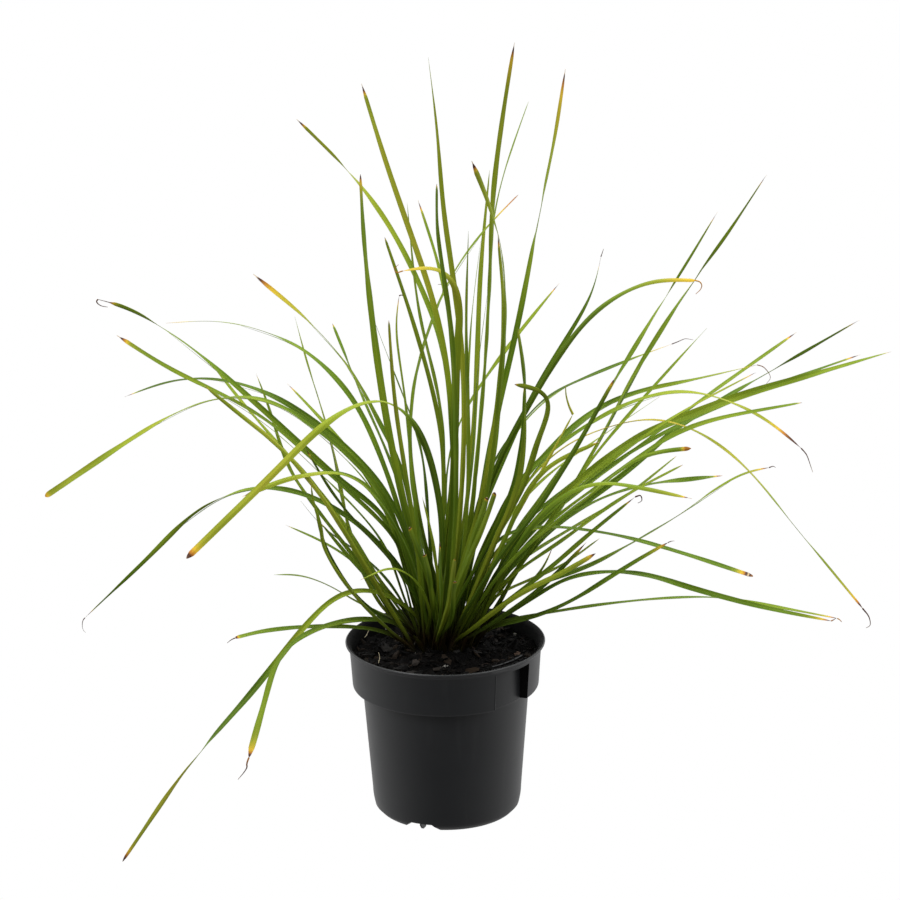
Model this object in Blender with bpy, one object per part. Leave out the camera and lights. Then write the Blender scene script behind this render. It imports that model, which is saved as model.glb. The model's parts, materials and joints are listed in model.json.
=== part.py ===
"""A lomandra tuft in a round nursery pot.

The origin is the middle of the pot's underside, +Z is up and the front of the plant faces -Y.
Leaf courses are drawn as they are seen from in front, in millimetres on the upright plane through
the pot's axis, each with its tip's distance behind that plane.
"""

import math

import bmesh
import bpy
import numpy as np
from mathutils import Vector
from mathutils.kdtree import KDTree

MM = 0.001

# Pot: a 15 cm nursery pot with a deep collar.
RIM_RADIUS = 0.0765
POT_HEIGHT = 0.136
WALL = 0.0014
COLLAR_TOP_RADIUS = 0.0736
COLLAR_FOOT_RADIUS = 0.0714
COLLAR_FOOT_HEIGHT = 0.1015
BODY_TOP_RADIUS = 0.0640
BODY_FOOT_RADIUS = 0.0574
BODY_FOOT_HEIGHT = 0.0160
FOOT_RADIUS = 0.0525
FOOT_RING_WIDTH = 0.0060
BASE_RISE = 0.0035
BASE_DISC_RADIUS = 0.0200
BASE_THICKNESS = 0.0020
POT_SIDES = 42

# Label pocket in the collar, between two bearings measured from the front towards +X.
POCKET_START = math.radians(31.0)
POCKET_END = math.radians(60.0)
POCKET_PANEL_RADIUS = 0.0650
POCKET_TOP = 0.1295
POCKET_WALL = 0.0014
POCKET_SHELF_HEIGHT = 0.1335
SLOT_INNER_RADIUS = 0.0695
SLOT_OUTER_RADIUS = 0.0722
SLOT_FLOOR = 0.1270
SLOT_COUNT = 3
SLOT_RIB = math.radians(1.6)

# Drain gaps in the foot ring and holes in the raised channel.
GAP_COUNT = 3
GAP_BEARING = math.radians(-21.5)
GAP_HALF_FLOOR = math.radians(17.0)
GAP_HALF_TOP = math.radians(9.0)
GAP_HEIGHT = 0.0060
HOLE_COUNT = 4
HOLE_TURN = math.radians(17.0)
HOLE_RADIUS = 0.0050
HOLE_CIRCLE = 0.0330

# Soil: it rises a little to the crown of the tuft, which stands a little behind the pot's axis.
TOUCH_GAP = 0.0003
SOIL_TOP = 0.1250
SOIL_RISE = 0.0040
SOIL_FLAT_RADIUS = 0.0300
SOIL_SLOPE = 0.0140
SOIL_SIDES = 40
SOIL_BUMP = 0.0018

# Tuft.
EYE = Vector((0.0054, -2.725, 1.164))
CROWN_MIDDLE = Vector((-0.0020, 0.0110, 0.0))
CROWN_HEIGHT = SOIL_TOP + SOIL_RISE + TOUCH_GAP
CROWN_RADIUS = 0.0265
CROWN_CORE = 0.0060
LEAF_THICKNESS = 0.0012
LEAF_SEGMENTS = 10
FINE_STEPS = 120
DEPTH_POWER = 1.25
FACING = 0.55
SHEATH_HEIGHT = 0.0060
CELL_WIDTH = 0.0026
CELL_DEPTH = 0.0018
SHOOT_SEGMENTS = 5
FLOOR_CLEARANCE = 0.0025

# Settling of the leaves beside each other.
SETTLE_ROUNDS = 130
SETTLE_GAP = 0.0006
SETTLE_GAIN = 1.0
FUSED_STEPS = 22
LOW_BAND = 0.012
LOW_NEED = 0.0035
CROSSING_SLANT = 0.25
BEND_WEIGHT = 0.35
SIDE_HOLD = 0.6

# Single leaves, root to tip: width in millimetres, how far the tip lies behind the axis plane
# (negative is in front of it), and the points that the leaf passes through.
LEAVES = (
    ("leaf_01", 4.0, -40, ((-45, 250), (-85, 297), (-125, 327), (-152, 333), (-180, 329),
                           (-210, 315), (-250, 289), (-301, 255))),
    ("leaf_02", 4.0, 90, ((-20, 200), (-45, 260), (-85, 303), (-114, 325), (-150, 342),
                          (-189, 347), (-220, 340), (-238, 333))),
    ("leaf_03", 4.0, 60, ((-43, 232), (-79, 266), (-115, 302), (-151, 337), (-180, 365),
                          (-213, 390), (-244, 407), (-255, 409))),
    ("leaf_04", 3.4, -30, ((-38, 215), (-75, 258), (-115, 297), (-146, 323), (-180, 341),
                           (-211, 359), (-242, 381))),
    ("leaf_05", 4.2, -120, ((-45, 169), (-56, 189), (-80, 234), (-100, 265), (-125, 295),
                            (-153, 319), (-178, 341))),
    ("leaf_06", 3.6, 150, ((-43, 170), (-54, 190), (-79, 235), (-111, 278), (-146, 322),
                           (-172, 358))),
    ("leaf_07", 3.6, 60, ((-47, 168), (-63, 195), (-94, 239), (-114, 270), (-122, 292),
                          (-131, 326), (-139, 350))),
    ("leaf_08", 3.2, 120, ((-48, 166), (-63, 193), (-72, 220), (-79, 271), (-95, 338),
                           (-101, 359), (-109, 394))),
    ("leaf_09", 3.8, 70, ((-30, 270), (-50, 315), (-69, 353), (-90, 381), (-109, 400),
                          (-139, 427))),
    ("leaf_10", 4.0, 140, ((-30, 225), (-43, 272), (-65, 326), (-85, 352), (-106, 370),
                           (-135, 384), (-165, 391), (-205, 390))),
    ("leaf_11", 4.8, -150, ((0, 205), (-2, 245), (-9, 280), (-18, 306), (-30, 323), (-48, 330),
                            (-68, 325), (-99, 301), (-141, 258), (-180, 220), (-196, 204))),
    ("leaf_12", 3.8, -90, ((-28, 205), (-48, 246), (-63, 264), (-79, 272), (-105, 270),
                           (-127, 264), (-152, 253))),
    ("leaf_13", 4.0, -60, ((-20, 165), (-43, 203), (-64, 228), (-91, 247), (-116, 258),
                           (-149, 259), (-179, 247), (-209, 222), (-240, 189), (-275, 157))),
    ("leaf_14", 3.2, -80, ((-60, 163), (-78, 187), (-91, 212), (-93, 229), (-99, 251),
                           (-100, 263))),
    ("leaf_15", 4.0, -125, ((-14, 145), (-25, 161), (-40, 172), (-58, 178), (-80, 174),
                            (-100, 156), (-118, 133), (-150, 93), (-200, 33), (-254, -46))),
    ("leaf_16", 4.0, -90, ((-30, 146), (-60, 153), (-80, 151), (-100, 145), (-117, 135),
                           (-127, 123), (-133, 110), (-140, 85), (-147, 60), (-153, 40))),
    ("leaf_17", 3.6, -50, ((-32, 132), (-42, 140), (-60, 145), (-90, 147), (-120, 146),
                           (-150, 142), (-161, 139))),
    ("leaf_18", 2.8, 60, ((-30, 148), (-65, 167), (-90, 182), (-110, 189), (-130, 190))),
    ("leaf_19", 4.0, 40, ((8, 250), (8, 300), (5, 352), (-1, 385), (-10, 422), (-20, 452),
                          (-30, 483), (-40, 514), (-50, 549), (-56, 570))),
    ("leaf_20", 3.8, 150, ((9, 260), (9, 320), (4, 352), (-3, 385), (-20, 428), (-35, 459),
                           (-60, 496), (-80, 519), (-104, 544))),
    ("leaf_21", 5.0, 60, ((-18, 190), (-26, 220), (-38, 285), (-45, 330), (-50, 380),
                          (-53, 410), (-56, 450), (-58, 502))),
    ("leaf_22", 3.8, -40, ((13, 230), (16, 300), (17, 340), (14, 380), (9, 425), (4, 460),
                           (0, 515), (-3, 556), (-7, 589))),
    ("leaf_23", 4.0, -90, ((9, 250), (9, 340), (7, 385), (2, 425), (-2, 455), (-3, 480),
                           (-2, 494))),
    ("leaf_24", 4.2, -20, ((20, 220), (25, 270), (30, 320), (34, 370), (37, 420), (38, 465),
                           (41, 500), (45, 530), (51, 570), (56, 599))),
    ("leaf_25", 4.0, 50, ((30, 250), (40, 310), (49, 350), (58, 390), (68, 440), (76, 482),
                          (83, 515), (89, 550), (93, 579))),
    ("leaf_26", 4.0, -120, ((34, 260), (43, 335), (47, 380), (48, 410), (46, 440), (41, 463),
                            (34, 487), (24, 511))),
    ("leaf_27", 3.6, -60, ((8, 250), (10, 340), (12, 372), (14, 400), (12, 412), (8, 424),
                           (2, 430), (-10, 432), (-28, 428))),
    ("leaf_28", 3.6, 80, ((-22, 250), (-25, 300), (-22, 335), (-15, 365), (-6, 392), (5, 418),
                          (20, 442), (40, 467), (58, 485))),
    ("leaf_29", 4.0, -110, ((40, 215), (52, 245), (60, 275), (62, 310), (63, 335), (60, 362),
                            (57, 383))),
    ("leaf_30", 4.0, -90, ((40, 222), (58, 250), (68, 282), (75, 302), (80, 318), (80, 328),
                           (75, 334), (67, 337), (54, 340))),
    ("leaf_31", 3.8, 60, ((22, 220), (38, 262), (55, 303), (67, 328), (80, 352), (95, 378),
                          (105, 394), (113, 410), (119, 437))),
    ("leaf_32", 4.0, -60, ((26, 232), (45, 285), (67, 326), (85, 357), (100, 379), (120, 400),
                           (140, 412), (160, 419), (189, 418))),
    ("leaf_33", 3.6, 180, ((30, 255), (50, 297), (65, 314), (80, 330), (100, 340), (130, 353),
                           (150, 361), (172, 369))),
    ("leaf_34", 4.0, 30, ((60, 200), (80, 230), (100, 262), (125, 307), (143, 345), (160, 373),
                          (180, 405), (200, 436), (220, 464), (241, 498))),
    ("leaf_35", 4.0, 140, ((50, 215), (78, 255), (110, 305), (127, 337), (150, 377),
                           (170, 410), (190, 444), (205, 470))),
    ("leaf_36", 3.6, 120, ((40, 225), (70, 273), (95, 302), (118, 320), (150, 333), (180, 339),
                           (210, 346), (236, 352))),
    ("leaf_37", 4.2, -60, ((42, 228), (62, 264), (85, 288), (110, 305), (130, 318), (150, 326),
                           (175, 332), (200, 329), (237, 313), (257, 299), (270, 286))),
    ("leaf_38", 3.6, -100, ((40, 220), (60, 255), (85, 285), (105, 298), (125, 305), (150, 312),
                            (180, 306), (210, 289), (240, 258), (270, 219), (300, 178),
                            (319, 157))),
    ("leaf_39", 4.4, -20, ((55, 215), (85, 245), (110, 269), (140, 292), (170, 308), (200, 318),
                           (235, 332), (265, 340), (300, 351), (336, 361))),
    ("leaf_40", 4.0, 120, ((60, 205), (100, 240), (140, 270), (170, 299), (200, 319),
                           (230, 337), (260, 355), (290, 373), (312, 386))),
    ("leaf_41", 4.2, -140, ((50, 205), (80, 243), (100, 256), (120, 261), (140, 258),
                            (160, 254), (188, 247))),
    ("leaf_42", 3.2, 60, ((55, 172), (100, 189), (120, 199), (150, 216), (180, 235), (210, 257),
                          (230, 268), (246, 271))),
    ("leaf_43", 3.8, -50, ((28, 195), (45, 218), (70, 226), (100, 224), (130, 219), (160, 210),
                           (200, 197), (235, 184))),
    ("leaf_44", 3.8, -40, ((30, 142), (55, 150), (75, 156), (105, 171), (135, 191),
                           (170, 212))),
    ("leaf_45", 4.0, -80, ((30, 143), (48, 155), (66, 167), (82, 178), (98, 185), (120, 188),
                           (142, 188), (170, 181), (215, 166), (250, 157), (295, 147))),
    ("leaf_46", 4.0, -10, ((25, 140), (50, 151), (80, 156), (110, 161), (150, 165), (190, 168),
                           (225, 165), (265, 156), (300, 149))),
)

# Shoots: fans of leaves grown from one sheath.  For each, the bearing of its foot measured from +X
# towards +Y and the foot's distance from the crown's middle in millimetres.  Then its hidden leaves,
# each as the single leaf that it runs behind, the share of that leaf's length that it reaches and its
# tip's distance behind the axis plane.  Then its drawn leaves, each as the tip's distance behind the
# axis plane and its points.
SHOOTS = (
    ("shoot_01", 180, 19, (
        ("leaf_05", 0.85, -40), ("leaf_06", 0.85, 230), ("leaf_07", 0.90, 150), ("leaf_14", 0.90, 0),
        ("leaf_08", 0.90, 190)), (
        (60, ((-45, 175), (-80, 209), (-101, 220), (-120, 230))),
        (80, ((-50, 190), (-76, 214), (-94, 229), (-108, 249))),
        (20, ((-40, 158), (-52, 177), (-66, 196), (-80, 213), (-93, 231))),
        (-20, ((-30, 190), (-60, 225), (-88, 262), (-104, 292))))),
    ("shoot_02", 137, 19, (
        ("leaf_10", 0.85, 240), ("leaf_02", 0.80, 200), ("leaf_03", 0.85, 150), ("leaf_09", 0.85, 190),
        ("leaf_01", 0.80, 200)), (
        (170, ((-45, 245), (-70, 285), (-90, 312), (-109, 333), (-116, 342))),
        (190, ((-30, 250), (-48, 300), (-61, 333), (-75, 373), (-81, 388))))),
    ("shoot_03", 115, 6, (
        ("leaf_20", 0.85, 260), ("leaf_21", 0.90, 190), ("leaf_09", 0.72, 270), ("leaf_19", 0.80, 150)), (
        (120, ((-15, 290), (-28, 330), (-37, 352), (-43, 368), (-51, 393))),
        (60, ((3, 300), (-3, 335), (-11, 365), (-17, 400), (-21, 430), (-24, 480))))),
    ("shoot_04", 91, 21, (
        ("leaf_19", 0.68, 270), ("leaf_22", 0.80, 200), ("leaf_24", 0.72, 250), ("leaf_28", 0.90, 290),
        ("leaf_23", 0.90, 110), ("leaf_26", 0.82, 230)), (
        (190, ((10, 300), (8, 380), (2, 420), (-3, 445), (-16, 482))),
        (100, ((20, 270), (26, 350), (28, 400), (31, 450), (37, 504))),
        (140, ((14, 290), (20, 360), (22, 400), (25, 420), (30, 450))))),
    ("shoot_05", 56, 20, (
        ("leaf_25", 0.75, 260), ("leaf_31", 0.90, 220), ("leaf_33", 0.92, 290), ("leaf_35", 0.75, 250),
        ("leaf_32", 0.85, 230), ("leaf_34", 0.70, 170)), (
        (150, ((28, 270), (32, 330), (36, 400), (39, 460), (50, 513), (66, 555))),
        (130, ((4, 280), (24, 330), (40, 355), (60, 378), (88, 417))))),
    ("shoot_06", 21, 20, (
        ("leaf_36", 0.85, 220), ("leaf_40", 0.85, 240), ("leaf_39", 0.80, 160), ("leaf_34", 0.85, 110),
        ("leaf_42", 0.90, 150)), (
        (90, ((50, 190), (85, 245), (110, 280), (128, 304), (162, 340), (198, 381))),
        (170, ((60, 215), (100, 252), (140, 283), (180, 315), (210, 336), (265, 377))),
        (80, ((50, 205), (90, 242), (130, 275), (170, 303), (262, 340), (313, 359))))),
    ("shoot_07", -22, 20, (
        ("leaf_39", 0.65, 60), ("leaf_43", 0.80, 40), ("leaf_37", 0.70, 40)), (
        (-30, ((40, 175), (70, 200), (110, 228), (145, 255), (181, 274))),
        (60, ((45, 225), (88, 275), (110, 290), (130, 305), (163, 328))),
        (120, ((45, 185), (70, 205), (110, 232), (140, 250), (176, 281))),
        (40, ((40, 170), (65, 182), (88, 193), (103, 204), (118, 216))),
        (60, ((40, 180), (60, 205), (100, 238), (130, 254), (155, 258), (211, 265))))),
    ("shoot_08", -60, 19, (
        ("leaf_41", 0.85, -60),), (
        (-110, ((40, 190), (70, 215), (110, 250), (140, 273), (155, 285), (187, 287))),
        (-90, ((40, 200), (60, 222), (80, 258), (100, 288), (120, 322), (130, 344))),
        (-90, ((55, 205), (100, 245), (140, 275), (170, 299), (230, 314), (270, 322))),
        (-70, ((65, 222), (110, 262), (150, 295), (180, 316), (215, 336), (235, 346))),
        (-80, ((28, 150), (45, 165), (75, 182), (100, 194), (115, 204))),
        (-60, ((45, 165), (80, 193), (110, 220), (130, 236), (145, 249))),
        (-20, ((50, 161), (72, 177), (92, 196), (108, 213))),
        (-60, ((40, 205), (52, 235), (70, 268), (91, 282), (106, 289), (118, 293))),
        (0, ((38, 158), (56, 172), (70, 186), (79, 200), (83, 211))))),
    ("shoot_09", -103, 18, (
        ("leaf_26", 0.85, -50), ("leaf_29", 0.85, -40)), (
        (-110, ((14, 190), (25, 215), (33, 236), (39, 254))),
        (-90, ((10, 180), (20, 212), (28, 235), (33, 250))),
        (-120, ((2, 160), (5, 178), (8, 201))),
        (-100, ((4, 150), (6, 166), (8, 183))),
        (-90, ((-4, 165), (-4, 190), (-3, 215))))),
    ("shoot_10", -5, 7, (
        ("leaf_24", 0.88, 70), ("leaf_25", 0.88, 130), ("leaf_31", 0.72, 130), ("leaf_30", 0.80, 20),
        ("leaf_28", 0.75, 160)), (
        (-50, ((36, 195), (48, 222), (60, 245), (73, 268), (88, 295), (98, 315))),
        (-70, ((17, 240), (19, 300), (19, 350), (18, 390), (19, 430), (21, 458))),
        (60, ((22, 270), (26, 340), (30, 375), (35, 412))))),
    ("shoot_11", -125, 7, (
        ("leaf_22", 0.90, 50), ("leaf_27", 0.78, 30), ("leaf_12", 0.85, 0), ("leaf_13", 0.75, 60)), (
        (-60, ((0, 230), (2, 280), (-7, 335), (-15, 368), (-32, 427), (-41, 454))),
        (-110, ((-8, 165), (-10, 185), (-15, 205))),
        (-80, ((-12, 180), (-19, 205), (-26, 227))),
        (-60, ((-5, 170), (-7, 195), (-10, 222), (-16, 251))))),
    ("shoot_12", -140, 19, (
        ("leaf_04", 0.82, 40), ("leaf_01", 0.66, 50)), (
        (-100, ((-22, 230), (-33, 300), (-37, 350), (-38, 375), (-39, 390))),
        (40, ((-22, 230), (-26, 290), (-29, 335), (-32, 375), (-35, 400), (-31, 409))),
        (-70, ((-8, 150), (-12, 170), (-20, 184), (-32, 193), (-42, 195), (-64, 185))))),
)

LEAF_GREEN = (0.105, 0.205, 0.030, 1.0)
OLIVE_GREEN = (0.210, 0.225, 0.040, 1.0)
OLIVE_LEAVES = ("leaf_01", "leaf_04", "leaf_11", "leaf_12", "leaf_27", "leaf_32", "leaf_37", "leaf_38")
POT_GREY = (0.030, 0.031, 0.032, 1.0)
SOIL_BROWN = (0.016, 0.013, 0.011, 1.0)


def clear_scene():
    """Start from an empty scene."""
    for thing in list(bpy.data.objects):
        bpy.data.objects.remove(thing, do_unlink=True)


def plain_material(name, colour, roughness):
    """A Principled material of one colour."""
    material = bpy.data.materials.new(name)
    material.use_nodes = True
    shader = material.node_tree.nodes["Principled BSDF"]
    shader.inputs["Base Color"].default_value = colour
    shader.inputs["Roughness"].default_value = roughness
    shader.inputs["Metallic"].default_value = 0.0
    material.diffuse_color = colour
    return material


def add_object(name, mesh, material):
    """Put a mesh in the scene under the given name."""
    thing = bpy.data.objects.new(name, mesh)
    bpy.context.scene.collection.objects.link(thing)
    if material is not None:
        mesh.materials.append(material)
    return thing


def mesh_from(name, points, faces, sharp=None):
    """A mesh from points and faces with its normals pointing out."""
    mesh = bpy.data.meshes.new(name)
    mesh.from_pydata([tuple(p) for p in points], [], faces)
    shell = bmesh.new()
    shell.from_mesh(mesh)
    bmesh.ops.recalc_face_normals(shell, faces=shell.faces)
    shell.to_mesh(mesh)
    shell.free()
    if sharp is not None:
        mesh.shade_smooth()
        mesh.set_sharp_from_angle(angle=sharp)
    return mesh


def turned_mesh(name, profile, sides):
    """Turn a closed profile of (radius, height) points about the Z axis."""
    points = []
    rings = []
    for radius, height in profile:
        if radius < 1e-9:
            rings.append([len(points)])
            points.append((0.0, 0.0, height))
            continue
        first = len(points)
        for side in range(sides):
            turn = 2.0 * math.pi * side / sides
            points.append((radius * math.cos(turn), radius * math.sin(turn), height))
        rings.append(list(range(first, first + sides)))
    faces = []
    pairs = list(zip(rings, rings[1:] + rings[:1]))
    for lower, upper in pairs:
        if len(lower) == 1 and len(upper) == 1:
            continue
        for side in range(sides):
            ahead = (side + 1) % sides
            if len(lower) == 1:
                faces.append((lower[0], upper[side], upper[ahead]))
            elif len(upper) == 1:
                faces.append((lower[side], lower[ahead], upper[0]))
            else:
                faces.append((lower[side], lower[ahead], upper[ahead], upper[side]))
    return mesh_from(name, points, faces, math.radians(35.0))


def bearing_point(bearing, radius, height):
    """A point at a bearing measured from the front towards +X."""
    return (radius * math.sin(bearing), -radius * math.cos(bearing), height)


def sector_block(name, start, end, inner, outer, low, high, steps=6):
    """A curved block between two bearings, two radii and two heights."""
    points = []
    for step in range(steps + 1):
        bearing = start + (end - start) * step / steps
        points.append(bearing_point(bearing, inner, low))
        points.append(bearing_point(bearing, outer, low))
        points.append(bearing_point(bearing, outer, high))
        points.append(bearing_point(bearing, inner, high))
    faces = [(0, 1, 2, 3), tuple(4 * steps + k for k in (3, 2, 1, 0))]
    for step in range(steps):
        for k in range(4):
            a = 4 * step + k
            b = 4 * step + (k + 1) % 4
            faces.append((a, b, b + 4, a + 4))
    return mesh_from(name, points, faces)


def pot_profile():
    """The pot's wall section, outside from the foot up and inside back down to the axis."""
    ring_inner = FOOT_RADIUS - FOOT_RING_WIDTH
    floor_top = BASE_RISE + BASE_THICKNESS
    return [
        (0.0, 0.0),
        (BASE_DISC_RADIUS, 0.0),
        (BASE_DISC_RADIUS + 0.002, BASE_RISE),
        (ring_inner - 0.001, BASE_RISE),
        (ring_inner, 0.0),
        (FOOT_RADIUS, 0.0),
        (FOOT_RADIUS + 0.0032, 0.0035),
        (BODY_FOOT_RADIUS, BODY_FOOT_HEIGHT),
        (BODY_TOP_RADIUS, COLLAR_FOOT_HEIGHT - 0.0015),
        (COLLAR_FOOT_RADIUS - 0.0004, COLLAR_FOOT_HEIGHT - 0.0010),
        (COLLAR_FOOT_RADIUS, COLLAR_FOOT_HEIGHT),
        (COLLAR_TOP_RADIUS, POT_HEIGHT - 0.0040),
        (RIM_RADIUS, POT_HEIGHT - 0.0008),
        (RIM_RADIUS - 0.0006, POT_HEIGHT),
        (COLLAR_TOP_RADIUS - WALL, POT_HEIGHT - 0.0030),
        (COLLAR_FOOT_RADIUS - WALL, COLLAR_FOOT_HEIGHT + WALL),
        (BODY_TOP_RADIUS - WALL, COLLAR_FOOT_HEIGHT + WALL - 0.0006),
        (BODY_FOOT_RADIUS - WALL, BODY_FOOT_HEIGHT),
        (FOOT_RADIUS + 0.0010, floor_top),
        (0.0, floor_top),
    ]


def cutter(name, mesh):
    """An object that only shapes others."""
    thing = add_object(name, mesh, None)
    thing.hide_render = True
    thing.display_type = "WIRE"
    return thing


def add_boolean(thing, tool, operation):
    """Join or cut one object by another, exactly."""
    step = thing.modifiers.new(tool.name, "BOOLEAN")
    step.operation = operation
    step.solver = "EXACT"
    step.object = tool


def gap_cutter(index):
    """A wedge that opens one drain gap in the foot ring, narrower at its top."""
    middle = GAP_BEARING + 2.0 * math.pi * index / GAP_COUNT
    inner = FOOT_RADIUS - FOOT_RING_WIDTH - 0.0030
    outer = FOOT_RADIUS + 0.0080
    points = []
    for share in (-1.0, -0.33, 0.33, 1.0):
        low = middle + share * GAP_HALF_FLOOR
        high = middle + share * GAP_HALF_TOP
        points.append(bearing_point(low, inner, -0.0010))
        points.append(bearing_point(low, outer, -0.0010))
        points.append(bearing_point(high, outer, GAP_HEIGHT))
        points.append(bearing_point(high, inner, BASE_RISE + 0.0001))
    faces = [(0, 1, 2, 3), (15, 14, 13, 12)]
    for step in range(3):
        for k in range(4):
            a = 4 * step + k
            b = 4 * step + (k + 1) % 4
            faces.append((a, b, b + 4, a + 4))
    return cutter("gap_cutter_%d" % index, mesh_from("gap_cutter", points, faces))


def hole_cutter(index):
    """A short cylinder that opens one drain hole in the raised channel."""
    turn = HOLE_TURN + 2.0 * math.pi * index / HOLE_COUNT
    shell = bmesh.new()
    bmesh.ops.create_cone(
        shell, cap_ends=True, segments=8, radius1=HOLE_RADIUS, radius2=HOLE_RADIUS, depth=0.012)
    mesh = bpy.data.meshes.new("hole_cutter")
    shell.to_mesh(mesh)
    shell.free()
    thing = cutter("hole_cutter_%d" % index, mesh)
    thing.location = (HOLE_CIRCLE * math.cos(turn), HOLE_CIRCLE * math.sin(turn), 0.004)
    thing.rotation_euler = (0.0, 0.0, turn + HOLE_TURN)
    return thing


def build_pot():
    """The turned pot with its label pocket, label slots, drain gaps and drain holes."""
    grey = plain_material("pot_grey", POT_GREY, 0.45)
    pot = add_object("pot", turned_mesh("pot", pot_profile(), POT_SIDES), grey)
    side = POCKET_WALL / COLLAR_FOOT_RADIUS
    block = sector_block(
        "pocket_block", POCKET_START - side, POCKET_END + side,
        BODY_TOP_RADIUS - WALL + 0.0002, COLLAR_FOOT_RADIUS - 0.0006,
        COLLAR_FOOT_HEIGHT - 0.0002, POCKET_SHELF_HEIGHT)
    add_boolean(pot, cutter("pocket_block", block), "UNION")
    pocket = sector_block(
        "pocket_cutter", POCKET_START, POCKET_END, POCKET_PANEL_RADIUS, RIM_RADIUS + 0.004,
        COLLAR_FOOT_HEIGHT - 0.004, POCKET_TOP)
    add_boolean(pot, cutter("pocket_cutter", pocket), "DIFFERENCE")
    share = (POCKET_END - POCKET_START) / SLOT_COUNT
    for index in range(SLOT_COUNT):
        start = POCKET_START + share * index + 0.5 * SLOT_RIB
        slot = sector_block(
            "slot_cutter", start, start + share - SLOT_RIB, SLOT_INNER_RADIUS, SLOT_OUTER_RADIUS,
            SLOT_FLOOR, POT_HEIGHT + 0.002, steps=2)
        add_boolean(pot, cutter("slot_cutter_%d" % index, slot), "DIFFERENCE")
    for index in range(GAP_COUNT):
        add_boolean(pot, gap_cutter(index), "DIFFERENCE")
    for index in range(HOLE_COUNT):
        add_boolean(pot, hole_cutter(index), "DIFFERENCE")


def soil_height(x, y):
    """The soil's surface: flat under the tuft, falling and then uneven towards the wall."""
    radius = math.hypot(x - CROWN_MIDDLE.x, y - CROWN_MIDDLE.y)
    blend = min(1.0, max(0.0, (radius - SOIL_FLAT_RADIUS) / SOIL_SLOPE))
    wave = math.sin(170.0 * x + 1.3) * math.cos(150.0 * y + 0.4) + 0.5 * math.sin(310.0 * (x - y))
    return SOIL_TOP + (1.0 - blend) * SOIL_RISE + blend * SOIL_BUMP * wave


def wall_radius_inside(height):
    """The pot's inside radius at a height."""
    if height > COLLAR_FOOT_HEIGHT + WALL:
        share = (height - COLLAR_FOOT_HEIGHT) / (POT_HEIGHT - COLLAR_FOOT_HEIGHT)
        return COLLAR_FOOT_RADIUS + share * (COLLAR_TOP_RADIUS - COLLAR_FOOT_RADIUS) - WALL
    share = (height - BODY_FOOT_HEIGHT) / (COLLAR_FOOT_HEIGHT - BODY_FOOT_HEIGHT)
    return BODY_FOOT_RADIUS + share * (BODY_TOP_RADIUS - BODY_FOOT_RADIUS) - WALL


def build_soil():
    """The potting mix that fills the pot to just under its rim."""
    brown = plain_material("soil_brown", SOIL_BROWN, 0.95)
    floor = BASE_RISE + BASE_THICKNESS + TOUCH_GAP
    collar_step = COLLAR_FOOT_HEIGHT + WALL + TOUCH_GAP
    facet = math.cos(math.pi / SOIL_SIDES)
    gap = TOUCH_GAP + 0.0004
    collar_top = wall_radius_inside(SOIL_TOP - 0.004) * facet - gap
    rings = [
        (FOOT_RADIUS - 0.0010, floor, 0.0),
        (wall_radius_inside(BODY_FOOT_HEIGHT) * facet - gap, BODY_FOOT_HEIGHT + 0.001, 0.0),
        (wall_radius_inside(COLLAR_FOOT_HEIGHT) * facet - gap, collar_step, 0.0),
        (wall_radius_inside(COLLAR_FOOT_HEIGHT + 0.004) * facet - gap, collar_step + 0.0004, 0.0),
        (collar_top, None, 0.0),
        (0.0570, None, 0.4),
        (SOIL_FLAT_RADIUS + SOIL_SLOPE, None, 1.0),
        (SOIL_FLAT_RADIUS, None, 1.0),
    ]
    points = []
    for radius, height, shift in rings:
        for side in range(SOIL_SIDES):
            turn = 2.0 * math.pi * side / SOIL_SIDES
            x = radius * math.cos(turn) + shift * CROWN_MIDDLE.x
            y = radius * math.sin(turn) + shift * CROWN_MIDDLE.y
            points.append((x, y, soil_height(x, y) if height is None else height))
    faces = []
    for ring in range(len(rings) - 1):
        for side in range(SOIL_SIDES):
            a = ring * SOIL_SIDES + side
            b = ring * SOIL_SIDES + (side + 1) % SOIL_SIDES
            faces.append((a, b, b + SOIL_SIDES, a + SOIL_SIDES))
    faces.append(tuple(range(SOIL_SIDES - 1, -1, -1)))
    top = (len(rings) - 1) * SOIL_SIDES
    faces.append(tuple(range(top, top + SOIL_SIDES)))
    soil = add_object("soil", mesh_from("soil", points, faces, math.radians(30.0)), brown)
    side = POCKET_WALL / COLLAR_FOOT_RADIUS + 0.0010 / COLLAR_FOOT_RADIUS
    room = sector_block(
        "pocket_room", POCKET_START - side, POCKET_END + side,
        BODY_TOP_RADIUS - WALL - 0.0006, RIM_RADIUS + 0.004,
        COLLAR_FOOT_HEIGHT - 0.0010, POT_HEIGHT + 0.002)
    add_boolean(soil, cutter("pocket_room", room), "DIFFERENCE")


def seen_point(across, up, behind):
    """The point at a distance behind the axis plane that is seen at (across, up) on that plane."""
    on_plane = Vector((across, 0.0, up))
    return EYE + (on_plane - EYE) * (1.0 + behind / -EYE.y)


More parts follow.
